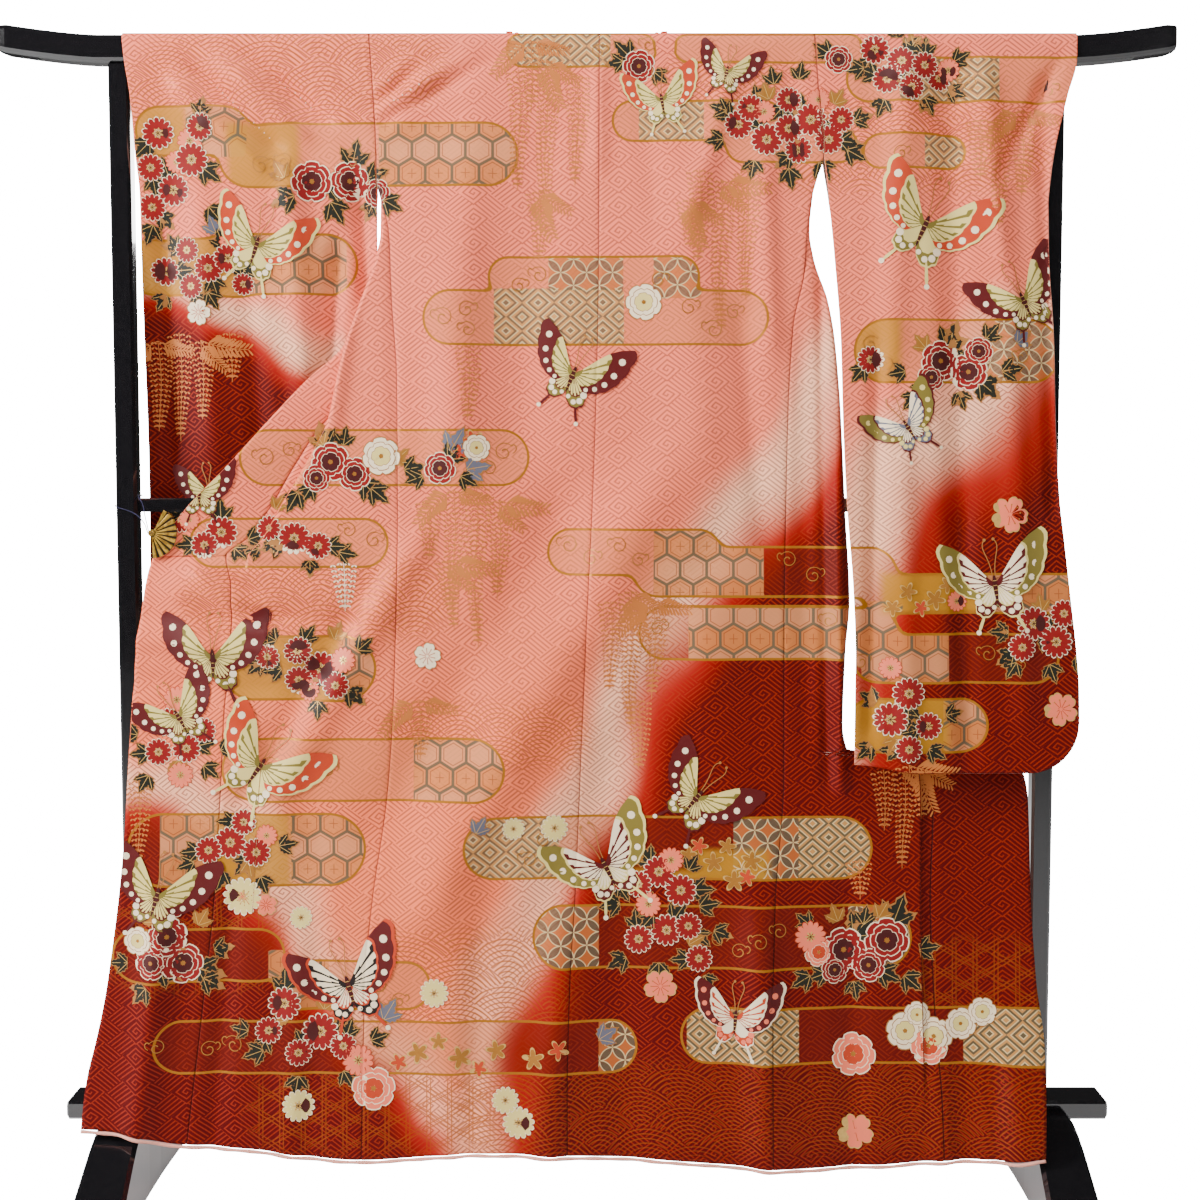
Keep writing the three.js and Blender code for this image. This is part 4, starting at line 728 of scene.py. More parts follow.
# An okumi: the strip from its seam to its free edge, its top lowered a little where the collar ends on it.
def okumi(name, half):
    levels = stripLevels(half["okumiTop"], nominalHem)
    lowered = 0.3 * (levels == half["collarEnd"]) * (half["side"] < 0)
    seam, edge = okumiSeam(half, levels), freeEdge(half["okumiEdge"], levels)
    for end in (seam, edge):
        end["drop"] = end["drop"] + lowered
    columns = np.concatenate(([0, 0.012, 0.03, 0.05], np.linspace(0.08, 1, 26)))
    return strip(name, half, levels, seam, edge, columns)


# The collar across the neck: rows from the back's top edge down to a lower, shorter edge.
def collarNeck(name):
    rows = table(
        "x y low", (-115.5, 29.3, -62), (-103, 29.7, -55), (-93, 24, -49), (-40, 22.6, -21), (40, 22.6, 21),
        (93, 24, 49), (103, 29.7, 55), (115.5, 29.3, 62))
    x = np.linspace(-115.5, 115.5, 60)
    y, low = read(rows, "y", x, "x")[None, :], read(rows, "low", x, "x")[None, :]
    t = np.linspace(0, 1, 12)[:, None]
    top = float(overRail(-43.5)[1]) - 0.3
    bowed = mix(y, 26.5, t) + 3 * np.sin(math.pi * t)
    grid = np.stack((mix(x[None, :], low, t), bowed, mix(top, 1597, t) + 0 * y), -1)
    return clothShell(name, grid, (grid[..., 0], grid[..., 2]), 1)


# Y of a sleeve's shown layer: the right one leans forward as a power of its drop, the left one falls back,
# and both blend into the body's cloth where they are sewn to it.
def sleeveY(side, x, z, u):
    drop = np.maximum(0, hang["from"] - z)
    lean = rightSleeveHang["lean"] * (drop / rightSleeveHang["length"]) ** rightSleeveHang["power"]
    right = -rightSleeveHang["start"] - lean
    fall = smooth((clearOfRail - z) / leftSleeveHang["length"])
    left = -leftSleeveHang["start"] + leftSleeveHang["back"] * fall
    own = (right if side > 0 else left) - smooth(drop / 80) * foldsAt(sleeveFolds, x, z)
    held = (1 - smooth(u / sewn["share"])) * smooth((z - sewn["from"]) / sewn["over"])
    return mix(own, hangY(x, z), held)


# Depth from the layer that shows to the one behind: full at the inner edge, closed below and at the outer
# edge under the cuff.
def bagDepth(side, x, z, u, bottom):
    show = sleeveY(side, x, z, u)
    full = mix(behindRail, show + sleeveBag["gap"], smooth((clearOfRail - z) / 260)) - show
    outer = np.where(z > sleeveBag["cuff"], 1, np.sqrt(np.clip((1 - u) / sleeveBag["roundOut"], 0, 1)))
    low = np.sqrt(np.clip((z - bottom) / sleeveBag["roundUp"], 0, 1))
    return sleeveBag["seam"] + (full - sleeveBag["seam"]) * outer * low


# The sleeve's lower edge: a quarter circle at the outer corner and a small rise at the inner one.
def sleeveBottomZ(inner, outer, u):
    width = np.abs(outer - inner)
    into = np.clip(u * width - (width - sleeveBottom["corner"]), 0, sleeveBottom["corner"])
    rounded = sleeveBottom["corner"] - np.sqrt(sleeveBottom["corner"] ** 2 - into ** 2)
    return sleeveBottom["z"] + rounded + sleeveBottom["inRise"] * (1 - smooth(u / 0.3))


# X across a sleeve's layer: from the body's edge or its own inner edge to its outer one, u from 0 to 1.
def sleeveAcross(side, behind, z, u):
    rows = rightSleeve if side > 0 else leftSleeve
    body = rightBackEdge if side > 0 else leftBackEdge
    inner = np.where(z >= sewnTo, read(body, "x", z), read(rows, "inner", z))
    inset = mix(1.2, 7, smooth((sewnTo - z) / 200)) if behind else 0.15
    return mix(inner + side * inset, read(rows, "rear" if behind else "outer", z), u)


# One layer of a long sleeve: a grid over the rail and down the hang, its last rows easing into the rounded
# lower edge; the layer behind is set back by the bag's depth.
def sleeve(name, side, behind):
    u = np.concatenate((
        [0, 0.004, 0.01, 0.02], np.linspace(0.035, 0.93, 46), [0.95, 0.965, 0.98, 0.99, 0.996, 1]))[None, :]
    y0, z0 = overRail((-1 if behind else 1) * ridgeRuns[:, None] + 0 * u)
    x0 = sleeveAcross(side, behind, z0, u)
    z1 = np.arange(1650, sleeveBottom["blendFrom"] + 1, -7.0)[:, None] + 0 * u
    ends = (sleeveAcross(side, behind, float(sleeveBottom["z"]), end) for end in (0, 1))
    bottom = sleeveBottomZ(*ends, u)
    step = np.linspace(0, 1, 25)[:, None] ** 0.8
    z = np.concatenate((z1, mix(sleeveBottom["blendFrom"], bottom, step)))
    x = sleeveAcross(side, behind, z, u)
    y = sleeveY(side, x, z, u)
    if behind:
        y = y + bagDepth(side, x, z, u, bottom)
    else:
        y = y + seamDip(u * sleeveWidth) * smooth((z - sewnTo) / 5)
    grid = np.concatenate((np.stack((x0, y0, z0), -1), np.stack((x, y, z), -1)))
    printed = -side if not behind else side
    flatZ = grid[..., 2]
    part = "sleeveRight" if side > 0 else "sleeveLeft"
    seam = np.where(flatZ > sewnTo, u * sleeveWidth, 30.0)
    return clothShell(name, grid, (grid[..., 0], flatZ), printed, part, "last bottom", seam)


# A tube round a line of points: circles square to the line, joined, and closed at both ends.
def tube(points, radius, sides):
    points = np.asarray(points, dtype=float)
    along = np.gradient(points, axis=0)
    along /= np.linalg.norm(along, axis=1, keepdims=True)
    up = np.tile((0.0, 0.0, 1.0), (len(points), 1))
    up[np.abs(along[:, 2]) > 0.9] = (0, 1, 0)
    first = np.cross(along, up)
    first /= np.linalg.norm(first, axis=1, keepdims=True)
    second = np.cross(along, first)
    angle = np.arange(sides) * tau / sides
    radius = np.broadcast_to(radius, (len(points),))[:, None, None]
    ring = first[:, None] * np.cos(angle)[None, :, None] + second[:, None] * np.sin(angle)[None, :, None]
    verts = (points[:, None] + radius * ring).reshape(-1, 3)
    last = (len(points) - 1) * sides
    faces = gridFaces(len(points), sides, closed=True, flip=True).tolist()
    return verts, faces + [list(range(sides)), list(range(last + sides - 1, last - 1, -1))]


pieces = {}
leftStops = [-104, -101.8, -99.3, -96.8, -94.5, -40]
rightStops = [62, 94.5, 96.8, 99.3, 101.8, 104]
pieces["back_left"] = backPanel("backLeft", leftBackEdge, centreSeam, leftStops)
pieces["back_right"] = backPanel("backRight", centreSeam, rightBackEdge, rightStops)
pieces["front_left"] = frontPanel("frontLeft", leftHalf)
pieces["front_right"] = frontPanel("frontRight", rightHalf)
pieces["okumi_left"] = okumi("okumiLeft", leftHalf)
pieces["okumi_right"] = okumi("okumiRight", rightHalf)
pieces["collar_left"] = collar("collarLeft", leftHalf)
pieces["collar_right"] = collar("collarRight", rightHalf)
pieces["collar_neck"] = collarNeck("collarNeck")
pieces["sleeve_left_back"] = sleeve("sleeveLeftBack", -1, False)
pieces["sleeve_left_front"] = sleeve("sleeveLeftFront", -1, True)
pieces["sleeve_right_back"] = sleeve("sleeveRightBack", 1, False)
pieces["sleeve_right_front"] = sleeve("sleeveRightFront", 1, True)
print("cloth made:", sum(len(p.data.polygons) for p in pieces.values()), "faces")


# The roll of lining along the hem: a tube below the hem line, a little uneven.
hemX = np.linspace(-722, 645, 420)
hemZ = read(hemLine, "z", hemX, "x")
hemCentre = np.stack((hemX, hangY(hemX, hemZ), hemZ - 3.8 + 0.25 * np.sin(hemX / 9)), -1)
hemTube = tube(hemCentre, 2.5 + 0.25 * np.sin(hemX / 6.5), 10)
pieces["hem_roll"] = newObject("hemRoll", meshOf("hemRoll", *hemTube))


# A shape is a row of complex numbers, x + iz in millimetres on the flat print. An ink gathers shapes,
# each with its colour and how far it stands off the cloth.
class Ink:
    def __init__(self):
        self.points, self.lifts, self.faces, self.tones, self.count = [], [], [], [], 0

    # Faces of three or four corners, in any order: those that turn the wrong way are turned round.
    def add(self, points, faces, tones, lift):
        points, faces = np.ravel(points), np.asarray(faces)
        if faces.shape[1] == 3:
            faces = np.concatenate((faces, faces[:, 2:]), axis=1)
        corner = points[faces]
        area = np.imag(np.conj(corner[:, 1] - corner[:, 0]) * (corner[:, 2] - corner[:, 0]))
        triangles = (faces[:, 2] == faces[:, 3]).all()
        turned = faces[:, [0, 2, 1, 1]] if triangles else faces[:, ::-1]
        faces = np.where((area < 0)[:, None], turned, faces)
        self.points.append(points)
        self.lifts.append(np.full(len(points), float(lift)))
        self.faces.append(faces + self.count)
        self.tones.append(np.broadcast_to(tones, (len(faces),)))
        self.count += len(points)

    # Outlines, one in each row, filled with triangles round their middles.
    def fill(self, outlines, tone, lift):
        outlines = np.atleast_2d(outlines)
        n, m = outlines.shape
        points = np.concatenate((outlines.mean(axis=1, keepdims=True), outlines), axis=1)
        start = np.arange(n)[:, None] * (m + 1)
        rim = np.arange(m)[None, :]
        faces = np.stack((start + 0 * rim, start + 1 + rim, start + 1 + (rim + 1) % m), -1).reshape(-1, 3)
        self.add(points, faces, tone, lift)

    # Ribbons along paths, one in each row, their width at each step.
    def line(self, paths, width, tone, lift):
        paths = np.atleast_2d(paths)
        along = np.gradient(paths, axis=1)
        side = 1j * along / np.maximum(np.abs(along), 1e-9) * np.asarray(width) / 2
        points = np.stack((paths + side, paths - side), 1)
        n, m = paths.shape
        k = (np.arange(n)[:, None] * 2 * m + np.arange(m - 1)[None, :]).ravel()
        self.add(points, np.stack((k, k + 1, k + m + 1, k + m), -1), tone, lift)

    # A grid of points, a tone for each of its cells.
    def grid(self, points, tones, lift):
        r, c = points.shape
        self.add(points, gridFaces(r, c), np.broadcast_to(tones, (r - 1, c - 1)).ravel(), lift)


# The tones of ink and thread.
inks = {
    "red": (150, 2, 0), "deep": (84, 0, 0), "pink": (240, 134, 104), "white": (244, 226, 196),
    "gold": (190, 136, 56), "paleGold": (232, 196, 120), "cream": (226, 208, 138), "olive": (138, 124, 56),
    "green": (34, 38, 20), "slate": (116, 116, 130), "rust": (196, 76, 34), "maroon": (104, 0, 10),
    "dark": (36, 16, 14), "tan": (176, 124, 66), "wisteria": (200, 126, 62)}
inkIndex = {name: i for i, name in enumerate(inks)}

# n turns, evenly spread round a circle.
ringOf = lambda n, phase=0.0: np.exp(1j * (tau * np.arange(n) / n + phase))[:, None]


# An egg-shaped petal from one radius to another, its widest place near the outer end.
def petal(fromR, toR, width, points=9):
    t = tau * np.arange(points) / points
    s = (1 - np.cos(t)) / 2
    return fromR + (toR - fromR) * s + 0.5j * width * np.sin(t) * (0.5 + 0.7 * s)


# A closed outline whose radius swells n times round.
def lobed(radius, n, depth, power=1.0, points=40, phase=0.0):
    t = tau * np.arange(points) / points
    return radius * (1 - depth + depth * np.abs(np.cos(n * t / 2 + phase)) ** power) * np.exp(1j * t)


# A chrysanthemum: fourteen narrow petals round a dark disc, each with a pale edge, and seven gold ones.
def mum(ink, at, size, turn, colour, lift):
    fillTone = {"red": "red", "pink": "pink", "white": "cream"}[colour]
    edge = {"red": "white", "pink": "rust", "white": "white"}[colour]
    spin = np.exp(1j * turn)
    heart = petal(0.04, 0.34, 0.13, 6)[None] * ringOf(7, 0.2)
    ink.fill(at + size * spin * lobed(0.8, 14, 0.05, points=28), inkIndex["deep"], lift)
    ink.fill(at + size * spin * petal(0.14, 1.0, 0.4, 10)[None] * ringOf(14), inkIndex[edge], lift + 0.1)
    ink.fill(at + size * spin * petal(0.17, 0.95, 0.35, 8)[None] * ringOf(14), inkIndex[fillTone], lift + 0.2)
    ink.fill(at + size * spin * heart, inkIndex["paleGold"], lift + 0.3)


peonyTones = {
    "red": ("red", "white", "deep"), "white": ("white", "tan", "cream"), "pink": ("pink", "white", "rust")}
peonyRings = ((7, 1.0, 0.86, 0, 0), (6, 0.74, 0.72, 0.4, 0.2), (5, 0.5, 0.56, 0.9, 0.4))


# A peony: three rings of broad petals with a frilled edge, each ring smaller and higher than the last.
def peony(ink, at, size, turn, colour, lift):
    petalTone, edge, heart = peonyTones[colour]
    spin = np.exp(1j * turn)
    for n, reach, width, phase, step in peonyRings:
        t = tau * np.arange(15) / 15
        frill = petal(0.1, reach, width, 15) * (1 + 0.05 * np.cos(7 * t))
        shapes = at + size * spin * frill[None] * ringOf(n, phase)
        ink.fill(shapes, inkIndex[edge], lift + step)
        ink.fill(at + (shapes - at) * 0.94, inkIndex[petalTone if step < 0.4 else heart], lift + step + 0.1)
    ink.fill(at + size * 0.13 * lobed(1, 7, 0.25, points=14), inkIndex["gold"], lift + 0.6)


# A plum blossom: one outline of five round lobes, notched at their tips, and ten stamens with gold ends.
def blossom(ink, at, size, turn, colour, lift):
    spin = np.exp(1j * turn)
    t = tau * np.arange(60) / 60
    wave = np.abs(np.sin(2.5 * t))
    outline = (0.62 + 0.38 * wave ** 0.6 - 0.1 * wave ** 24) * np.exp(1j * t)
    ink.fill(at + size * spin * outline, inkIndex["paleGold" if colour == "pink" else "tan"], lift)
    ink.fill(at + size * 0.93 * spin * outline, inkIndex[colour], lift + 0.1)
    stamens = np.linspace(0.1, 0.48, 3)[None] * ringOf(10, 0.3) * spin
    ink.line(at + size * stamens, 0.9, inkIndex["rust"], lift + 0.2)
    tips = 0.52 * ringOf(10, 0.3) + 0.045 * lobed(1, 1, 0, points=6)[None]
    ink.fill(at + size * spin * tips, inkIndex["gold"], lift + 0.2)


# A maple leaf: a pale outline of five deep points, and a smaller one of its tone on it.
def maple(ink, at, size, turn, colour, lift):
    outline = lobed(1.0, 5, 0.62, 1.6, 40) * np.exp(1j * (turn + 0.3))
    ink.fill(at + size * outline, inkIndex["paleGold"], lift)
    ink.fill(at + size * 0.84 * outline, inkIndex["gold" if colour == "gold" else "rust"], lift + 0.1)


# Three pointed leaflets with toothed edges and a pale rib.
def leaf(ink, at, size, turn, colour, lift):
    s = np.concatenate((np.linspace(0, 1, 9), np.linspace(1, 0, 9)[1:-1]))
    side = np.concatenate((np.ones(9), -np.ones(7)))
    half = 0.24 * np.sin(math.pi * s ** 0.8) * (1 + 0.22 * np.cos(np.arange(16) * math.pi)) * side
    one = s + 1j * half
    fan = (np.array([1, 0.8, 0.8]) * np.exp(1j * (np.array([0, 0.75, -0.75]) + math.radians(turn))))[:, None]
    length = size * 1.25
    ink.fill(at + length * (1.06 * one[None] * fan), inkIndex["tan"], lift)
    ink.fill(at + length * (0.04 + 0.94 * s + 0.84j * half)[None] * fan, inkIndex[colour], lift + 0.08)
    ink.line(at + length * np.linspace(0.05, 0.85, 4)[None] * fan, 0.8, inkIndex["paleGold"], lift + 0.16)


# A spiral tendril whose radius grows evenly, with a small curl on its stem.
def scroll(ink, at, size, hand, lift):
    t = np.linspace(0, 1, 26)
    curl = size * (0.12 + 0.7 * t) * np.exp(1j * (0.6 + 8.2 * t)) * (1 - 0.15 * t)
    hook = curl[-1] + size * 0.5 * t * np.exp(1j * (1.2 + 3.4 * t))
    for path in (curl, hook):
        path = path if hand else -path.conj()
        ink.line(at + path, 1.7 * (1 - 0.4 * t), inkIndex["gold"], lift)


racemeStep = 7.5


# A raceme: rows of small paired petals that narrow to the tip.
def raceme(ink, at, length, tone, lift):
    rows = int(length / racemeStep)
    k = np.arange(rows)
    apart = (13.5 * (1 - k / rows) ** 0.7 + 1.5)[:, None] * np.array([-1, -0.36, 0.36, 1])[None, :]
    sway = 2.5 * np.sin(k / 4.0)[:, None]
    centre = at + apart + sway - 1j * (k[:, None] * racemeStep + 2.0 * np.abs(apart) / 7)
    centre = centre.ravel()[:, None]
    for tilt in (-0.9, 0.9):
        drop = petal(0.2, 5.0, 2.9, 6)[None] * np.exp(1j * (-math.pi / 2 + tilt))
        ink.fill(centre + drop, inkIndex[tone], lift)
    t = np.linspace(0, 1, max(4, rows))
    ink.line(at + 2.5 * np.sin(t * rows / 4.0) - 1j * length * t, 0.9, inkIndex[tone], lift)


# A feathered leaf: pairs of narrow leaflets along a bowed rib.
def frond(ink, at, length, turn, tone, lift):
    t = np.linspace(0, 1, 12)
    rib = at + length * np.exp(1j * turn) * (t + 0.22j * t * t)
    ink.line(rib, 1.0, inkIndex[tone], lift)
    for side in (-1, 1):
        leaflets = petal(0, 1, 0.26, 8)[None] * (length * 0.34 * (1.1 - 0.6 * t[2:]))[:, None]
        aim = np.exp(1j * (turn + 0.35 * t[2:] + side * 0.85))[:, None]
        ink.fill(rib[2:, None] + leaflets * aim, inkIndex[tone], lift)


# Band, drops, veins, rim and spots of a wing.
wingLooks = {
    "cream": ("rust", "cream", "olive", "cream", "white"),
    "maroon": ("maroon", "cream", "olive", "maroon", "white"),
    "dark": ("maroon", "white", "dark", "rust", "white"),
    "olive": ("olive", "white", "maroon", "cream", "white"),
    "white": ("maroon", "white", "rust", "white", "pink"),
    "slate": ("olive", "white", "slate", "maroon", "cream")}
foreWing = table("t r", (0, 0.3), (0.28, 0.46), (0.55, 0.64), (0.79, 0.83), (0.93, 0.97), (1, 1.0))
hindWing = table("t r", (0, 0.3), (0.2, 0.44), (0.45, 0.52), (0.7, 0.5), (1, 0.34))


# A wing between two angles round its root: rows run out from the root, columns round it. Bare root, a
# middle of pale drops between dark veins, a line, a band with spots and a pale rim.
def wing(ink, root, size, angles, shape, look, lift, spots):
    band, drops, veins, rim, dot = look
    columns = 25
    t = np.linspace(0, 1, columns)
    reach = read(shape, "r", t, "t") * (1 + 0.035 * np.abs(np.sin(t * (spots + 1) * math.pi)))
    angle = mix(angles[0], angles[1], t)
    bow = 0.1 * (angles[1] - angles[0])
    out = np.array([0.03, 0.16, 0.3, 0.44, 0.56, 0.63, 0.67, 0.8, 0.95, 1.0])
    turn = angle[None] + bow * np.sin(math.pi * out)[:, None] * t[None]
    points = root + size * out[:, None] * reach[None] * np.exp(1j * turn)
    k = np.arange(columns - 1)
    plain = lambda name: inkIndex[name] + 0 * k
    stripe = np.where(k % 4 == 0, inkIndex[veins], inkIndex[drops])
    wide = np.where(k % 4 < 2, inkIndex[veins], inkIndex[drops])
    rows = [plain(veins), wide, stripe, stripe, wide, plain(rim), plain(band), plain(band), plain(rim)]
    ink.grid(points, np.array(rows), lift)
    at = (np.arange(spots) + 0.7) / (spots + 0.4)
    aim = mix(angles[0], angles[1], at) + bow * 0.5 * at
    middle = root + size * 0.83 * read(shape, "r", at, "t") * np.exp(1j * aim)
    dots = (0.03 + 0.028 * at)[:, None] * lobed(1, 1, 0, points=9)[None]
    ink.fill(middle[:, None] + size * dots, inkIndex[dot], lift + 0.12)


# Two long fore wings, two short hind wings with a tail that ends in a ring, a slim body and feelers.
def butterfly(ink, at, size, turn, look, lift):
    colours = wingLooks[look]
    spin = math.radians(turn)
    for side, scale in ((1, 1.0), (-1, 0.92)):
        place = lambda a: spin + (a if side > 0 else math.pi - a)
        hind = (colours[2], colours[1], colours[3], colours[3], colours[4])
        tailAim = np.exp(1j * place(-1.12)) * size * scale
        ink.fill(at + petal(0.42, 0.76, 0.05, 9) * tailAim, inkIndex[colours[3]], lift)
        ink.fill(at + 0.76 * tailAim + size * 0.035 * lobed(1, 1, 0, points=8), inkIndex["white"], lift + 0.1)
        wing(ink, at, size * scale, (place(-1.55), place(-0.62)), hindWing, hind, lift, 4)
        wing(ink, at, size * scale, (place(-0.72), place(0.75)), foreWing, colours, lift + 0.2, 5)
    axis = np.exp(1j * (spin + math.pi / 2))
    ink.fill(at + size * axis * petal(-0.3, 0.12, 0.07, 14), inkIndex["deep"], lift + 0.4)
    stripes = axis * (np.linspace(-0.22, 0.04, 5)[:, None] + 1j * np.linspace(-0.025, 0.025, 3)[None])
    ink.line(at + size * stripes, 0.9, inkIndex["paleGold"], lift + 0.5)
    s = np.linspace(0, 1, 14)
    for side in (-1, 1):
        feeler = axis * (0.1 + 0.5 * s + 1j * side * (0.02 + 0.16 * s ** 2 - 0.12 * s ** 7))
        ink.line(at + size * feeler, 1.2, inkIndex["tan"], lift + 0.3)
        ink.fill(at + size * (feeler[-1] + 0.022 * lobed(1, 1, 0, points=7)), inkIndex["tan"], lift + 0.3)


ink = Ink()
for i, (x, z, length) in enumerate(wisteria):
    raceme(ink, complex(x, z), length, "wisteria", 0.4)
    if i % 2 == 0:
        frond(ink, complex(x, z), 66, -2.6 + 1.1 * (i % 3), "wisteria", 0.4)
        frond(ink, complex(x, z), 52, -0.5 - 0.3 * (i % 3), "wisteria", 0.4)
raceme(ink, complex(-346, 932), 70, "white", 0.45)
for x, z, size, hand in scrolls:
    scroll(ink, complex(x, z), size, hand, 0.4)
makers = {"mum": mum, "peony": peony, "blossom": blossom, "maple": maple, "leaf": leaf}
grown = {"mum": 1.18, "peony": 1.18, "leaf": 1.3}
order = 0
dice = np.random.default_rng(7)
for kind in ("leaf", "maple", "mum", "peony", "blossom"):
    for entry in flowers:
        if entry[0] != kind:
            continue
        for row in entry[2:]:
            order += 1
            turn = row[3] if len(row) > 3 else 2.4 * order
            lift = (0.45 if kind in ("leaf", "maple") else 0.7) + 0.06 * (order % 7)
            at, size = complex(row[0], row[1]), row[2] * grown.get(kind, 1)
            if kind in ("mum", "peony") and entry[1] == "red":
                aim = dice.uniform(0, 360)
                beside = at + size * 0.7 * np.exp(1j * math.radians(aim))
                leaf(ink, beside, size * 1.15, aim, "green", 0.45 + 0.04 * (order % 5))
            makers[kind](ink, at, size, turn, entry[1], lift)
for i, (x, z, size, turn, look) in enumerate(butterflies):
    butterfly(ink, complex(x, z), size, turn, look, 1.5)
print("motifs drawn:", sum(len(f) for f in ink.faces), "faces")


# Y of the cloth that shows at a place of one zone, and whether the place is in that zone.
def bodyY(x, z):
    y = hangY(x, z)
    for edge in (leftBackEdge, centreSeam, rightBackEdge):
        y = y + seamDip(np.abs(x - read(edge, "x", z)))
    return y


ridge = {"from": 1667, "radius": 13.5, "flat": 8}


# Y of cloth at a place whose flat height is above the hang: round over the rail's top.
def onRidge(z, y):
    up = np.clip((z - ridge["from"]) / ridge["radius"], 0, 1)
    return np.where(z > ridge["from"], -(ridge["flat"] + ridge["radius"] * np.sqrt(1 - up ** 2)), y)


# Whether a place is more than a millimetre above the hem line.
def aboveHem(x, z):
    return z > read(hemLine, "z", x, "x") + 1


# The part of a sleeve's layer that a motif may cover, a millimetre inside its edges, and its Y.
def sleeveZone(side, behind=False):
    def zone(x, z):
        start, end = sleeveAcross(side, behind, z, 0), sleeveAcross(side, behind, z, 1)
        u = (x - start) / (end - start)
        bottom = sleeveBottomZ(start, end, np.clip(u, 0, 1))
        inside = (u > 0.004) & (u < 0.996) & (z > bottom + 1) & (z < 1678)
        y = sleeveY(side, x, z, np.clip(u, 0, 1))
        if behind:
            y = y + bagDepth(side, x, z, np.clip(u, 0, 1), bottom)
            inside &= z < clearOfRail
        return inside, y if behind else onRidge(z, y)
    return zone


# The same of a back, between its two seams.
def backZone(leftEdge, rightEdge):
    def zone(x, z):
        inside = (x > read(leftEdge, "x", z)) & (x < read(rightEdge, "x", z)) & aboveHem(x, z) & (z < 1678)
        return inside, onRidge(z, bodyY(x, z))
    return zone


# The same of the part of a front that shows, from the back's edge to its fold.
def frontZone(half):
    def zone(x, z):
        side = half["side"]
        seam, fold = read(half["backEdge"], "x", z), read(half["plan"], "fold", z)
        inside = (side * (x - seam) > 0) & (side * (fold - x) > 1) & (z < 1395) & aboveHem(x, z)
        return inside, bodyY(x, z)
    return zone


# The okumi and the collar that show past the fold of a front.
def edgeZone(half):
    def zone(x, z):
        side = half["side"]
        fold, start, gap = (read(half["plan"], name, z) for name in ("fold", "okumi", "gap"))
        below = z < half["okumiTop"] if side < 0 else z < 1e9
        edges = half["okumiEdge"], half["collarEdge"]
        reach, back = (np.where(below, *(read(edge, name, z) for edge in edges)) for name in ("x", "back"))
        inside = (side * (x - fold) > 0) & (side * (reach - x) > 1) & (z < 1300) & aboveHem(x, z)
        t = np.clip((x - start) / np.where(np.abs(reach - start) < 1, side, reach - start), 0, 1)
        folded = 1 - np.clip(gap / 4, 0, 1)
        crown = 1.2 * np.sin(math.pi * t) * ~below
        return inside, hangY(x, z, folded) + mix(2 * gap, back, t) - crown
    return zone


zones = {
    "sleeve_right_back": sleeveZone(1), "back_left": backZone(leftBackEdge, centreSeam),
    "back_right": backZone(centreSeam, rightBackEdge), "front_left": frontZone(leftHalf),
    "front_right": frontZone(rightHalf),
    "okumi_left": edgeZone(leftHalf), "okumi_right": edgeZone(rightHalf), "sleeve_left_back": sleeveZone(-1)}
inkPoints = np.concatenate(ink.points)
inkLifts, inkFaces, inkTones = np.concatenate(ink.lifts), np.concatenate(ink.faces), np.concatenate(ink.tones)
inkColours = np.array([(*tone(*inks[name]), 1) for name in inks])


# The number of the first zone that holds each point, or -1.
def zoneOf(points):
    which = np.full(points.shape, -1)
    for number, zone in enumerate(zones.values()):
        inside = zone(points.real, points.imag)[0]
        which = np.where((which < 0) & inside, number, which)
    return which


# Faces that lie across the edge of a zone are cut in four, at the middles of their sides and their own
# middle, so that a motif ends cleanly at a cloth's edge.
def splitAcross(points, lifts, faces, tones, which):
    mixed = (which[faces] != which[faces[:, :1]]).any(axis=1)
    a, b, c, d = faces[mixed].T
    nine = lambda value: np.stack((
        value[a], (value[a] + value[b]) / 2, value[b], (value[a] + value[d]) / 2,
        (value[a] + value[b] + value[c] + value[d]) / 4, (value[b] + value[c]) / 2, value[d],
        (value[c] + value[d]) / 2, value[c]), -1).ravel()
    quarters = np.array(((0, 1, 4, 3), (1, 2, 5, 4), (4, 5, 8, 7), (3, 4, 7, 6)))
    added = len(points) + 9 * np.arange(len(a))[:, None, None] + quarters
    newPoints = nine(points)
    return (np.concatenate((points, newPoints)), np.concatenate((lifts, nine(lifts))),
            np.concatenate((faces[~mixed], added.reshape(-1, 4))),
            np.concatenate((tones[~mixed], np.repeat(tones[mixed], 4))),
            np.concatenate((which, zoneOf(newPoints))))


inkParts = inkPoints, inkLifts, inkFaces, inkTones, zoneOf(inkPoints)
for _ in range(3):
    inkParts = splitAcross(*inkParts)
inkPoints, inkLifts, inkFaces, inkTones = inkParts[:4]


# The chosen faces as one mesh, laid on the cloth's Y and lifted off it, each face with its ink's tone. A face
# with two corners in one place becomes a triangle.
def printMesh(name, chosen, y, away=-1):
    faces, tones = inkFaces[chosen], inkTones[chosen]
    used, faces = np.unique(faces, return_inverse=True)
    faces = faces.reshape(-1, 4)
    x, z = inkPoints.real[used], inkPoints.imag[used]
    points = np.stack((x, y(x, z) + away * (0.8 + inkLifts[used]), z), -1)
    if away > 0:
        faces = faces[:, ::-1]
    at = (x + 1j * z)[faces]
    sameEnd, sameStart = (np.abs(at[:, i] - at[:, i + 1]) < 1e-6 for i in (2, 0))
    lists = [face[:3] if end else face[1:] if start else face
             for face, end, start in zip(faces.tolist(), sameEnd, sameStart)]
    mesh = meshOf(name, points, lists)
    colour = mesh.attributes.new("ink", "FLOAT_COLOR", "FACE")
    colour.data.foreach_set("color", inkColours[tones].astype(np.float32).ravel())
    golden = np.isin(tones, [inkIndex["gold"], inkIndex["paleGold"]])
    mesh.polygons.foreach_set("material_index", golden.astype(np.int32))
    return newObject(name, mesh)


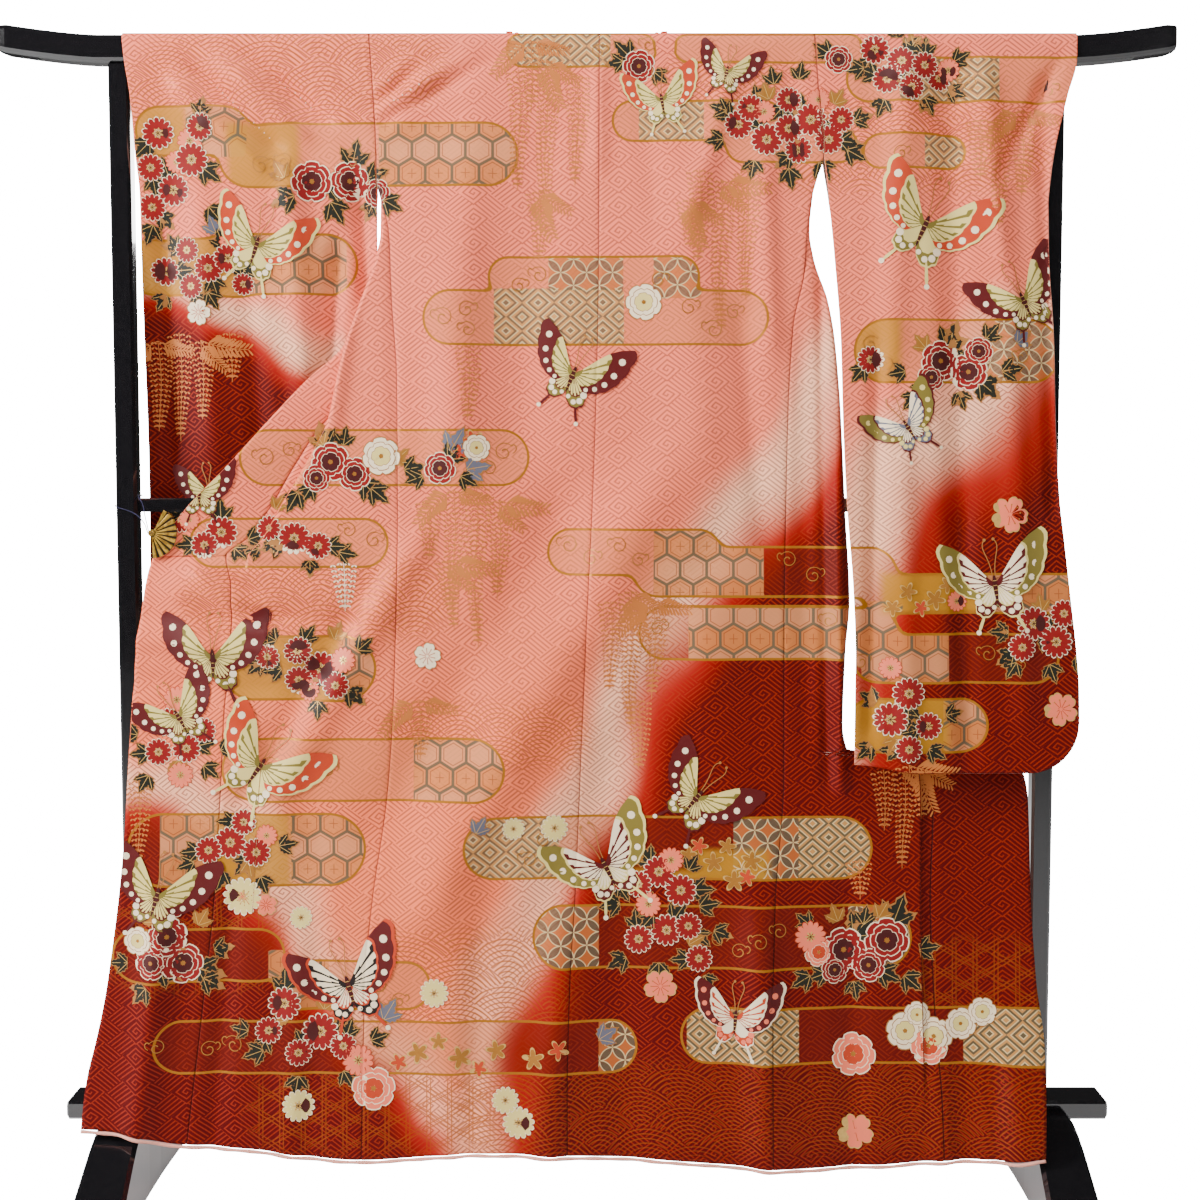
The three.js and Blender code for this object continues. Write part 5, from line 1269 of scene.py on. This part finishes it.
prints = {}
middle = inkPoints[inkFaces].mean(axis=1)
free = np.ones(len(middle), dtype=bool)
for node, zone in zones.items():
    inside = zone(middle.real, middle.imag)[0] & free
    free &= ~inside
    if inside.any():
        prints[node] = printMesh("print_" + node, inside, lambda x, z: zone(x, z)[1])
for side, node in ((1, "sleeve_right_front"), (-1, "sleeve_left_front")):
    zone = sleeveZone(side, True)
    inside = zone(middle.real, middle.imag)[0]
    prints[node] = printMesh("print_" + node, inside, lambda x, z: zone(x, z)[1], 1)
print("print laid on the cloth:", sum(len(p.data.polygons) for p in prints.values()), "faces")


sticks = {
    "count": 9, "from": 44, "to": -82, "inner": 8, "outer": 35.4, "start": 0.7, "end": 1.7,
    "near": -56.6, "far": -55.6}


# The sticks of the fan-shaped clip: flat wedges spread about its pin on the front jaw's face.
def fanSticks():
    aim = np.exp(1j * np.radians(np.linspace(sticks["from"], sticks["to"], sticks["count"])))[:, None]
    outline = np.array([
        sticks["inner"] - 1j * sticks["start"], sticks["outer"] - 1j * sticks["end"],
        sticks["outer"] + 1j * sticks["end"], sticks["inner"] + 1j * sticks["start"]])
    flat = np.tile(outline * aim, (1, 2)) + clip["x"] + 1j * clip["z"]
    depth = np.repeat([sticks["near"], sticks["far"]], 4) + 0 * flat.real
    one = [(0, 1, 2, 3), (7, 6, 5, 4)] + [(k, k + 4, (k + 1) % 4 + 4, (k + 1) % 4) for k in range(4)]
    faces = (8 * np.arange(sticks["count"])[:, None, None] + np.array(one)).reshape(-1, 4)
    points = np.stack((flat.real, depth, flat.imag), -1).reshape(-1, 3)
    return newObject("fanSticks", meshOf("fanSticks", points, faces, flat=True))


clipSticks = fanSticks()


# A socket in an expression: each operator adds its Math node.
class Term:
    def __init__(self, nodes, socket):
        self.nodes, self.socket = nodes, socket

    # Any Math node on this value and others.
    def math(self, operation, *others):
        return self.nodes.add("ShaderNodeMath", {"operation": operation}, [self, *others])

    # Another output of the same node.
    def out(self, index):
        return Term(self.nodes, self.socket.node.outputs[index])

    def __add__(self, other): return self.math("ADD", other)
    def __radd__(self, other): return self.math("ADD", other)
    def __sub__(self, other): return self.math("SUBTRACT", other)
    def __rsub__(self, other):
        return self.nodes.add("ShaderNodeMath", {"operation": "SUBTRACT"}, [other, self])

    def __mul__(self, other): return self.math("MULTIPLY", other)
    def __rmul__(self, other): return self.math("MULTIPLY", other)
    def __mod__(self, other): return self.math("FLOORED_MODULO", other)
    def __abs__(self): return self.math("ABSOLUTE")


# The nodes of one material. add takes a node's type, its settings and the values or links of its sockets.
class Finish:
    def __init__(self, name):
        self.material = bpy.data.materials.new(name)
        self.material.use_nodes = True
        self.tree = self.material.node_tree
        self.tree.nodes.clear()
        self.shader = self.tree.nodes.new("ShaderNodeBsdfPrincipled")
        output = self.tree.nodes.new("ShaderNodeOutputMaterial")
        self.tree.links.new(self.shader.outputs[0], output.inputs[0])

    # A socket takes a link, or a plain value, a colour with its alpha added.
    def link(self, socket, value):
        if isinstance(value, Term):
            self.tree.links.new(value.socket, socket)
        elif isinstance(value, tuple) and socket.type == "RGBA" and len(value) == 3:
            socket.default_value = (*value, 1)
        else:
            socket.default_value = value

    # Any node; a ramp's stops are a setting. Gives one output.
    def add(self, kind, settings=None, inputs=(), output=0):
        node = self.tree.nodes.new(kind)
        for key, value in (settings or {}).items():
            if key == "stops":
                ramp = node.color_ramp
                while len(ramp.elements) < len(value):
                    ramp.elements.new(0.5)
                for element, (place, colour) in zip(ramp.elements, value):
                    element.position, element.color = place, (*colour, 1)
            else:
                setattr(node, key, value)
        for key, value in inputs.items() if isinstance(inputs, dict) else enumerate(inputs):
            self.link(node.inputs[key], value)
        return Term(self, node.outputs[output])

    # A field of the mesh, such as the dye or the distance to a seam.
    def field(self, name):
        return self.add("ShaderNodeAttribute", {"attribute_name": name}, output=2)

    # 0 below from, 1 above to, eased.
    def step(self, value, fromValue, toValue):
        return self.add(
            "ShaderNodeMapRange", {"interpolation_type": "SMOOTHSTEP"}, [value, fromValue, toValue, 0.0, 1.0])

    # 1 where a distance is within half a line's width.
    def line(self, distance, half, soft=0.35):
        return 1 - self.step(abs(distance), half - soft, half + soft)

    # Colour a, turned into colour b by the factor.
    def blend(self, a, b, factor):
        return self.add("ShaderNodeMix", {"data_type": "RGBA"}, {0: factor, 6: a, 7: b}, 2)

    # Soft noise at a place, scale repeats to a metre.
    def noise(self, vector, scale, detail=2.0, output=0):
        inputs = {"Vector": vector, "Scale": scale, "Detail": detail}
        return self.add("ShaderNodeTexNoise", {}, inputs, output)

    # Normals that tilt with a height, the distance in metres.
    def bump(self, height, strength, distance):
        return self.add("ShaderNodeBump", {}, {"Strength": strength, "Distance": distance, "Height": height})

    # The place on the piece, in metres.
    def objectPlace(self):
        return self.add("ShaderNodeTexCoord", {}, (), 3)

    # The shader's own sockets, an underscore standing for a space.
    def set(self, **values):
        for key, value in values.items():
            self.link(self.shader.inputs[key.replace("_", " ")], value)
        return self.material


# Places of the flat print in millimetres, from the cloth's own map.
def clothPlaces(f):
    flat = f.add("ShaderNodeUVMap", {"uv_map": "cloth"})
    parts = f.add("ShaderNodeSeparateXYZ", {}, [flat])
    return flat, parts * 1000, parts.out(1) * 1000


# A woven key fret: square blocks on the slant, in turn a bundle of lines one way, a bundle the other way,
# and a square coil, whose line number is the greater distance from the block's middle plus the share of a
# turn round it.
def fretLines(f, x, z, pitch, count, slant):
    run, rise = math.cos(slant) / pitch, math.sin(slant) / pitch
    a, b = x * rise + z * run, z * run - x * rise
    column, row = (a * (1 / count)).math("FLOOR"), (b * (1 / count)).math("FLOOR")
    kind = (column + row * 2) % 3
    inA, inB = a % count, b % count
    fromA, fromB = inA - count / 2, inB - count / 2
    coil = abs(fromA).math("MAXIMUM", abs(fromB)) + fromB.math("ARCTAN2", fromA) * (1 / tau) + 0.5
    lines = inA + kind.math("GREATER_THAN", 0.5) * (inB - inA)
    lines = lines + kind.math("GREATER_THAN", 1.5) * (coil - lines)
    return f.line((lines % 1) - 0.5, 0.17, 0.09)


silk = {
    "rose": tone(252, 142, 114), "salmon": tone(252, 140, 98), "pale": tone(255, 206, 172),
    "orange": tone(196, 34, 6), "red": tone(104, 0, 0), "deepRed": tone(84, 0, 0), "gold": tone(178, 124, 44),
    "gilt": tone(190, 142, 40), "fretPitch": 5.6, "fretCount": 5, "fretSlant": 0.66, "sheen": 0.02,
    "goldMetal": 0.35}
# Sizes of the repeats inside the clouds and of the fields of line work, in millimetres.
repeats = {
    "hexagon": 38.0, "hexagonLine": 1.7, "diamondWide": 46.0, "diamondHigh": 40.0, "ringGrid": 26.0,
    "waveSpan": 128.0, "waveRise": 30.0, "waveRing": 6.6, "lattice": 30.0, "rim": 1.7}


# The dyed silk: the ground by the dye's field, then the fret, the clouds and what fills them, the line work,
# the gold and painted shade along the seams, each blended over the last by its own mask.
def dyedSilkFinish():
    f = Finish("dyedSilk")
    flat, x, z = clothPlaces(f)
    dye = (f.field("dye") + 1) * 0.5
    warm = f.step(z, 1250.0, 500.0)
    ground = f.blend(silk["rose"], silk["salmon"], warm)
    mottled = f.noise(flat, 5.0, 3.0)
    dye = dye + (mottled - 0.5) * 0.05
    toPale = f.step(dye, 0.16, 0.43)
    colour = f.blend(ground, silk["pale"], toPale * f.step(z, 100.0, 900.0) * 0.35 + toPale * 0.5)
    colour = f.blend(colour, silk["orange"], f.step(dye, 0.44, 0.7))
    redder = f.blend(silk["red"], silk["deepRed"], f.step(z, 700.0, 1000.0) * 0.4)
    colour = f.blend(colour, redder, f.step(dye, 0.54, 0.9))
    isRed = f.step(dye, 0.45, 0.65)

    fret = fretLines(f, x, z, silk["fretPitch"], silk["fretCount"], silk["fretSlant"])
    fretTone = f.blend(tone(164, 76, 58), tone(170, 58, 28), isRed)
    colour = f.blend(colour, fretTone, fret * 0.7)

    cloud = f.field("cloud")
    inCloud = 1 - f.step(cloud, -0.6, 0.6)
    colour = f.blend(colour, f.blend(tone(214, 136, 92), tone(124, 38, 18), isRed), inCloud * 0.5)

    # hexagons: two grids of centres, the nearer one's distance is constant along a hexagon's side
    side = repeats["hexagon"]
    tall = side * math.sqrt(3)
    slope = math.sqrt(3) / 2
    ax, az = abs((x % side) - side / 2), abs((z % tall) - tall / 2)
    bx, bz = abs(((x + side / 2) % side) - side / 2), abs(((z + tall / 2) % tall) - tall / 2)
    hexA = ax.math("MAXIMUM", ax * 0.5 + az * slope)
    hexB = bx.math("MAXIMUM", bx * 0.5 + bz * slope)
    hexD = hexA.math("MINIMUM", hexB)
    hexArea = (1 - f.step(f.field("hexagons"), -0.8, 0.8)) * inCloud
    which = hexA.math("LESS_THAN", hexB)
    hexFill = f.blend(tone(222, 158, 112), tone(214, 142, 84), which)
    colour = f.blend(colour, hexFill, hexArea * 0.75)
    hexLine = f.line(hexD - (side / 2 - 0.4), repeats["hexagonLine"]) * hexArea
    hexRing = f.line(hexD - side * 0.36, 0.7) * hexArea
    hexCross = f.line(ax.math("MINIMUM", az), 0.6) * f.step(hexD, 7.0, 5.5) * which * hexArea

    # nested diamonds
    dx, dz = repeats["diamondWide"], repeats["diamondHigh"]
    nest = abs((x % dx) - dx / 2) * (2 / dx) + abs((z % dz) - dz / 2) * (2 / dz)
    diamondArea = (1 - f.step(f.field("diamonds"), -0.8, 0.8)) * inCloud
    halves = (nest * 2.0) % 1
    diamondFill = f.blend(tone(112, 106, 84), tone(206, 158, 98), halves.math("GREATER_THAN", 0.5))
    colour = f.blend(colour, diamondFill, diamondArea * 0.85)
    diamondLine = f.line(halves - 0.5, 0.1, 0.03) * diamondArea

    # linked rings set on their corners: arcs from the corners of a square grid, darker where two rings share
    grid, diagonal = repeats["ringGrid"], math.sqrt(0.5)
    rx, rz = (x + z) * diagonal, (z - x) * diagonal
    qx, qz = abs((rx % grid) - grid / 2), abs((rz % grid) - grid / 2)
    arcA = ((grid / 2 + qx).math("POWER", 2.0) + (grid / 2 - qz).math("POWER", 2.0)).math("SQRT")
    arcB = ((grid / 2 - qx).math("POWER", 2.0) + (grid / 2 + qz).math("POWER", 2.0)).math("SQRT")
    radius = grid * diagonal
    ringArea = (1 - f.step(f.field("rings"), -0.8, 0.8)) * inCloud
    inLens = (arcA.math("LESS_THAN", radius) + arcB.math("LESS_THAN", radius)).math("MINIMUM", 1.0)
    colour = f.blend(colour, f.blend(tone(196, 118, 66), tone(112, 104, 84), inLens), ringArea * 0.8)
    ringLine = (f.line(arcA - radius, 0.7) + f.line(arcB - radius, 0.7)).math("MINIMUM", 1.0) * ringArea
    ringStar = f.line(qx.math("MINIMUM", qz), 0.6) * f.step(qx + qz, 9.0, 7.0) * ringArea

    giltArea = (1 - f.step(f.field("gilt"), -8.0, 8.0)) * inCloud
    colour = f.blend(colour, silk["gilt"], giltArea * 0.8)

    # gold waves: overlapping fans of rings in staggered rows, the lower rows in front, pushed about by a
    # broad noise
    warp = f.noise(flat, 2.2, 1.0, 1)
    warped = f.add("ShaderNodeSeparateXYZ", {}, [warp])
    wx, wz = x + (warped - 0.5) * 170.0, z + (warped.out(1) - 0.5) * 110.0
    span, rise = repeats["waveSpan"], repeats["waveRise"]
    row = (wz * (1 / rise)).math("FLOOR")
    reach = None
    for below in (0, 1, 2, 3):
        start = (row - below) * rise
        shift = ((row - below) % 2) * (span / 2)
        dx = abs(((wx - shift) % span) - span / 2)
        dz = wz - start
        distance = (dx * dx + dz * dz).math("SQRT")
        covers = distance.math("LESS_THAN", span * 0.52)
        reach = distance if reach is None else reach + covers * (distance - reach)
    crest = f.line(((reach * (1 / repeats["waveRing"])) % 1) - 0.5, 0.14, 0.07)
    waves = crest * (1 - f.step(f.field("waves"), -25.0, 20.0)) * (1 - inCloud)

    # lattice: three families of paired lines at 60 degrees
    net = None
    for aim in (0.0, 60.0, 120.0):
        turn, pitch = math.radians(aim), repeats["lattice"]
        across = x * (math.cos(turn) / pitch) + z * (math.sin(turn) / pitch)
        pair = f.line(abs((across % 1) - 0.5) - 0.09, 0.026, 0.012)
        net = pair if net is None else net.math("MAXIMUM", pair)
    lattice = net * (1 - f.step(f.field("lattice"), -20.0, 20.0)) * (1 - inCloud)
    faint = waves.math("MAXIMUM", lattice)
    faintTone = f.blend(tone(190, 112, 58), tone(170, 92, 34), isRed)
    colour = f.blend(colour, faintTone, faint * (0.85 - 0.25 * isRed))

    # the clouds' rims, the fillings' lines, painted shade along the seams, and the thread
    rim = f.line(cloud, repeats["rim"])
    paleLine = diamondLine.math("MAXIMUM", ringLine)
    colour = f.blend(colour, tone(226, 204, 156), paleLine * 0.85)
    colour = f.blend(colour, tone(104, 100, 82), hexLine * 0.9)
    small = hexRing.math("MAXIMUM", hexCross).math("MAXIMUM", ringStar)
    colour = f.blend(colour, tone(132, 64, 40), small * 0.6)
    colour = f.blend(colour, silk["gold"], rim)
    goldWork = rim.math("MAXIMUM", faint * 0.8).math("MAXIMUM", paleLine * 0.6)
    # painted shade: the cloth is darkened within a millimetre or so of each seam, where it dips into the seam
    seam = 1 - f.step(f.field("seam"), 0.5, 1.5)
    colour = f.blend(colour, f.blend(tone(128, 52, 40), tone(56, 6, 4), isRed), seam * 0.75)
    thread = f.noise(flat, 900.0, 1.0)
    height = fret * 0.25 + thread * 0.35 + goldWork * 0.5
    roughness = 0.56 - 0.14 * fret - 0.1 * goldWork + 0.06 * thread
    return f.set(
        Base_Color=colour, Roughness=roughness, Metallic=goldWork * silk["goldMetal"],
        Sheen_Weight=silk["sheen"], Sheen_Roughness=0.4, Specular_IOR_Level=0.12,
        Normal=f.bump(height, 0.35, 0.0005))


# Plain-woven lining silk: pale at the shoulders, dyed rose towards the hem, with a fine crossed weave.
def liningFinish():
    f = Finish("liningSilk")
    flat, x, z = clothPlaces(f)
    thread = f.noise(flat, 700.0, 2.0)
    cloudy = f.noise(flat, 9.0, 2.0)
    low = f.step(z + (cloudy - 0.5) * 160.0, 620.0, 240.0)
    colour = f.blend(tone(236, 206, 190), tone(206, 92, 78), low)
    colour = f.blend(colour, tone(190, 120, 98), 0.25 * cloudy)
    return f.set(
        Base_Color=colour, Roughness=0.5 + 0.12 * thread, Sheen_Weight=0.2,
        Normal=f.bump(thread, 0.25, 0.0004))


# The folded edge of the cloth: a pale rolled line.
def edgeFinish():
    f = Finish("foldedEdge")
    place = f.objectPlace()
    thread = f.noise(place, 500.0, 2.0)
    colour = f.blend(tone(240, 186, 168), tone(226, 150, 132), thread)
    return f.set(Base_Color=colour, Roughness=0.55, Sheen_Weight=0.2, Normal=f.bump(thread, 0.3, 0.0004))


# Inks and coloured thread of the motifs: the tone of each shape, mottled as stitched thread is.
def inkFinish():
    f = Finish("inkAndThread")
    place = f.objectPlace()
    shade = f.add("ShaderNodeAttribute", {"attribute_name": "ink"})
    stitch = f.noise(f.add("ShaderNodeMapping", {}, {"Vector": place, "Scale": (1.0, 1.0, 3.5)}), 420.0, 2.0)
    colour = f.blend(shade, (0.5, 0.3, 0.2), (stitch - 0.5) * 0.08)
    return f.set(
        Base_Color=colour, Roughness=0.45 + 0.2 * stitch, Specular_IOR_Level=0.3,
        Normal=f.bump(stitch, 0.3, 0.0004))


# Gold thread and leaf: the same tones with a broken metallic shine.
def goldFinish():
    f = Finish("goldThread")
    place = f.objectPlace()
    shade = f.add("ShaderNodeAttribute", {"attribute_name": "ink"})
    worn = f.noise(place, 260.0, 3.0)
    colour = f.blend(shade, tone(150, 100, 48), worn * 0.5)
    return f.set(
        Base_Color=colour, Roughness=0.34 + 0.2 * worn, Metallic=0.45,
        Normal=f.bump(worn, 0.3, 0.0004))


# Black lacquer: near black, a clear coat, the faintest ripple and dust in its gloss.
def lacquerFinish():
    f = Finish("blackLacquer")
    place = f.objectPlace()
    ripple, dust = f.noise(place, 14.0, 2.0), f.noise(place, 160.0, 3.0)
    colour = f.blend((0.0035, 0.0035, 0.0045), (0.009, 0.008, 0.009), dust)
    return f.set(
        Base_Color=colour, Roughness=0.1 + 0.08 * dust, Coat_Weight=1.0, Coat_Roughness=0.04,
        Normal=f.bump(ripple, 0.04, 0.002))


# Aged gilt of the fan clip, worn in patches, with painted shade in the gaps between its ribs.
def giltFinish():
    f = Finish("agedGilt")
    place = f.objectPlace()
    parts = f.add("ShaderNodeSeparateXYZ", {}, [place])
    turn = (parts.out(2) - clip["z"] / 1000).math("ARCTAN2", parts - clip["x"] / 1000)
    rib = f.line(((turn * 3.638 + 0.706) % 1) - 0.5, 0.3, 0.06)
    worn = f.noise(place, 140.0, 4.0)
    colour = f.blend(tone(150, 112, 30), tone(216, 180, 84), f.step(worn, 0.3, 0.65))
    # painted shade: the gaps between the ribs are darkened to stand in for their shadow
    colour = f.blend(tone(52, 36, 10), colour, rib)
    return f.set(
        Base_Color=colour, Roughness=0.34 + 0.2 * worn, Metallic=0.6,
        Normal=f.bump(rib, 0.5, 0.0008))


# Navy cotton thread: twisted plies.
def threadFinish():
    f = Finish("navyThread")
    place = f.objectPlace()
    ply = f.noise(place, 1400.0, 1.0)
    colour = f.blend(tone(18, 18, 46), tone(56, 50, 104), ply)
    return f.set(Base_Color=colour, Roughness=0.7, Normal=f.bump(ply, 0.4, 0.0003))


dyedSilk, liningSilk, foldedEdge = dyedSilkFinish(), liningFinish(), edgeFinish()
inkAndThread, goldThread = inkFinish(), goldFinish()
lacquer, agedGilt, navyThread = lacquerFinish(), giltFinish(), threadFinish()

for node, piece in pieces.items():
    if node == "hem_roll":
        piece.data.materials.append(foldedEdge)
    else:
        for finish in (dyedSilk, liningSilk, foldedEdge):
            piece.data.materials.append(finish)
    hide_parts(node)
    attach(piece, "root")
for piece in prints.values():
    piece.data.materials.append(inkAndThread)
    piece.data.materials.append(goldThread)
    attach(piece, "root")
clipSticks.data.materials.append(agedGilt)
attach(clipSticks, "root")
for finish, nodes in (
        (lacquer, "rail upright_left upright_right mid_rail cross_board foot_left foot_right"),
        (agedGilt, "fan_front fan_back fan_pin"), (navyThread, "thread")):
    for node in nodes.split():
        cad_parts[node].data.materials.clear()
        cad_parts[node].data.materials.append(finish)
print("finishes made")


# Half the floor's width, how bright the surroundings are as light, in gloss and as seen, and how brightly
# and how fully the floor glows.
studio = {
    "floorHalf": 7000, "ambient": 0.22, "mirrored": 0.02, "seen": 20.0, "floorGlow": 20.0, "floorShare": 0.94}
# Soft lamps: where each stands and its width and height, in metres, and its power in watts.
lamps = {
    "keyLeft": ((-3.2, -1.5, 2.3), (0.8, 1.4), 250), "fillRight": ((2.4, -2.8, 1.9), (0.9, 1.8), 22),
    "topSoft": ((0, -1.2, 3.2), (2.4, 0.8), 60), "behind": ((0, 2.8, 2.4), (2.0, 1.4), 110)}


# Pale floor, the same all over but for a faint mottle.
def floorFinish():
    f = Finish("paleFloor")
    mottled = f.noise(f.objectPlace(), 2.0, 2.0)
    colour = f.blend((0.86, 0.86, 0.86), (0.9, 0.9, 0.9), mottled)
    material = f.set(Base_Color=colour, Roughness=0.9)
    glow = f.add("ShaderNodeEmission", {}, {"Strength": studio["floorGlow"]})
    seen = f.add("ShaderNodeLightPath")
    mixed = f.add("ShaderNodeMixShader", {}, [seen * studio["floorShare"]])
    f.tree.links.new(f.shader.outputs[0], mixed.socket.node.inputs[1])
    f.tree.links.new(glow.socket, mixed.socket.node.inputs[2])
    f.tree.links.new(mixed.socket, next(n for n in f.tree.nodes if n.type == "OUTPUT_MATERIAL").inputs[0])
    return material


half = studio["floorHalf"]
corners = [(-half, -half, 0), (half, -half, 0), (half, half, 0), (-half, half, 0)]
floor = newObject("floor", meshOf("floor", corners, [(0, 1, 2, 3)], flat=True))
floor.data.materials.append(floorFinish())

# White surroundings as seen, dimmer in what they light and in what the lacquer mirrors.
world = bpy.data.worlds.new("studio")
scene.world = world
world.use_nodes = True
worldTree = world.node_tree
background = worldTree.nodes["Background"]
background.inputs["Color"].default_value = (1, 1, 1, 1)
rays = worldTree.nodes.new("ShaderNodeLightPath")
strength = worldTree.nodes.new("ShaderNodeMapRange")
strength.inputs["To Min"].default_value = studio["ambient"]
strength.inputs["To Max"].default_value = studio["seen"]
worldTree.links.new(rays.outputs["Is Camera Ray"], strength.inputs["Value"])
glossy = worldTree.nodes.new("ShaderNodeMapRange")
worldTree.links.new(rays.outputs["Is Glossy Ray"], glossy.inputs["Value"])
worldTree.links.new(strength.outputs[0], glossy.inputs["To Min"])
glossy.inputs["To Max"].default_value = studio["mirrored"]
worldTree.links.new(glossy.outputs[0], background.inputs["Strength"])


# A soft lamp at a place, turned so that its face looks at a target.
def softLight(name, place, target, size, power):
    data = bpy.data.lights.new(name, "AREA")
    data.shape, data.size, data.size_y, data.energy = "RECTANGLE", size[0], size[1], power
    light = bpy.data.objects.new(name, data)
    light.location = place
    aim = mathutils.Vector(target) - mathutils.Vector(place)
    light.rotation_euler = aim.to_track_quat("-Z", "Y").to_euler()
    scene.collection.objects.link(light)


for name, (place, size, power) in lamps.items():
    softLight(name, place, (0, 0, 0.9), size, power)
print("studio set")


# Each piece as it is cut, width and length in metres, its edge turnings left out.
cuts = {
    "back_left": (0.32, 1.68), "back_right": (0.32, 1.68), "front_left": (0.3, 1.56),
    "front_right": (0.31, 1.6), "okumi_left": (0.15, 0.86), "okumi_right": (0.145, 1.32),
    "collar_left": (0.105, 0.75), "collar_right": (0.06, 0.85), "collar_neck": (0.2, 0.06),
    "sleeve_left_back": (0.34, 1.09), "sleeve_left_front": (0.34, 1.09),
    "sleeve_right_back": (0.33, 1.09), "sleeve_right_front": (0.33, 1.09)}
for node, piece in pieces.items():
    if node in cuts:
        [prints[node]] if node in prints else []
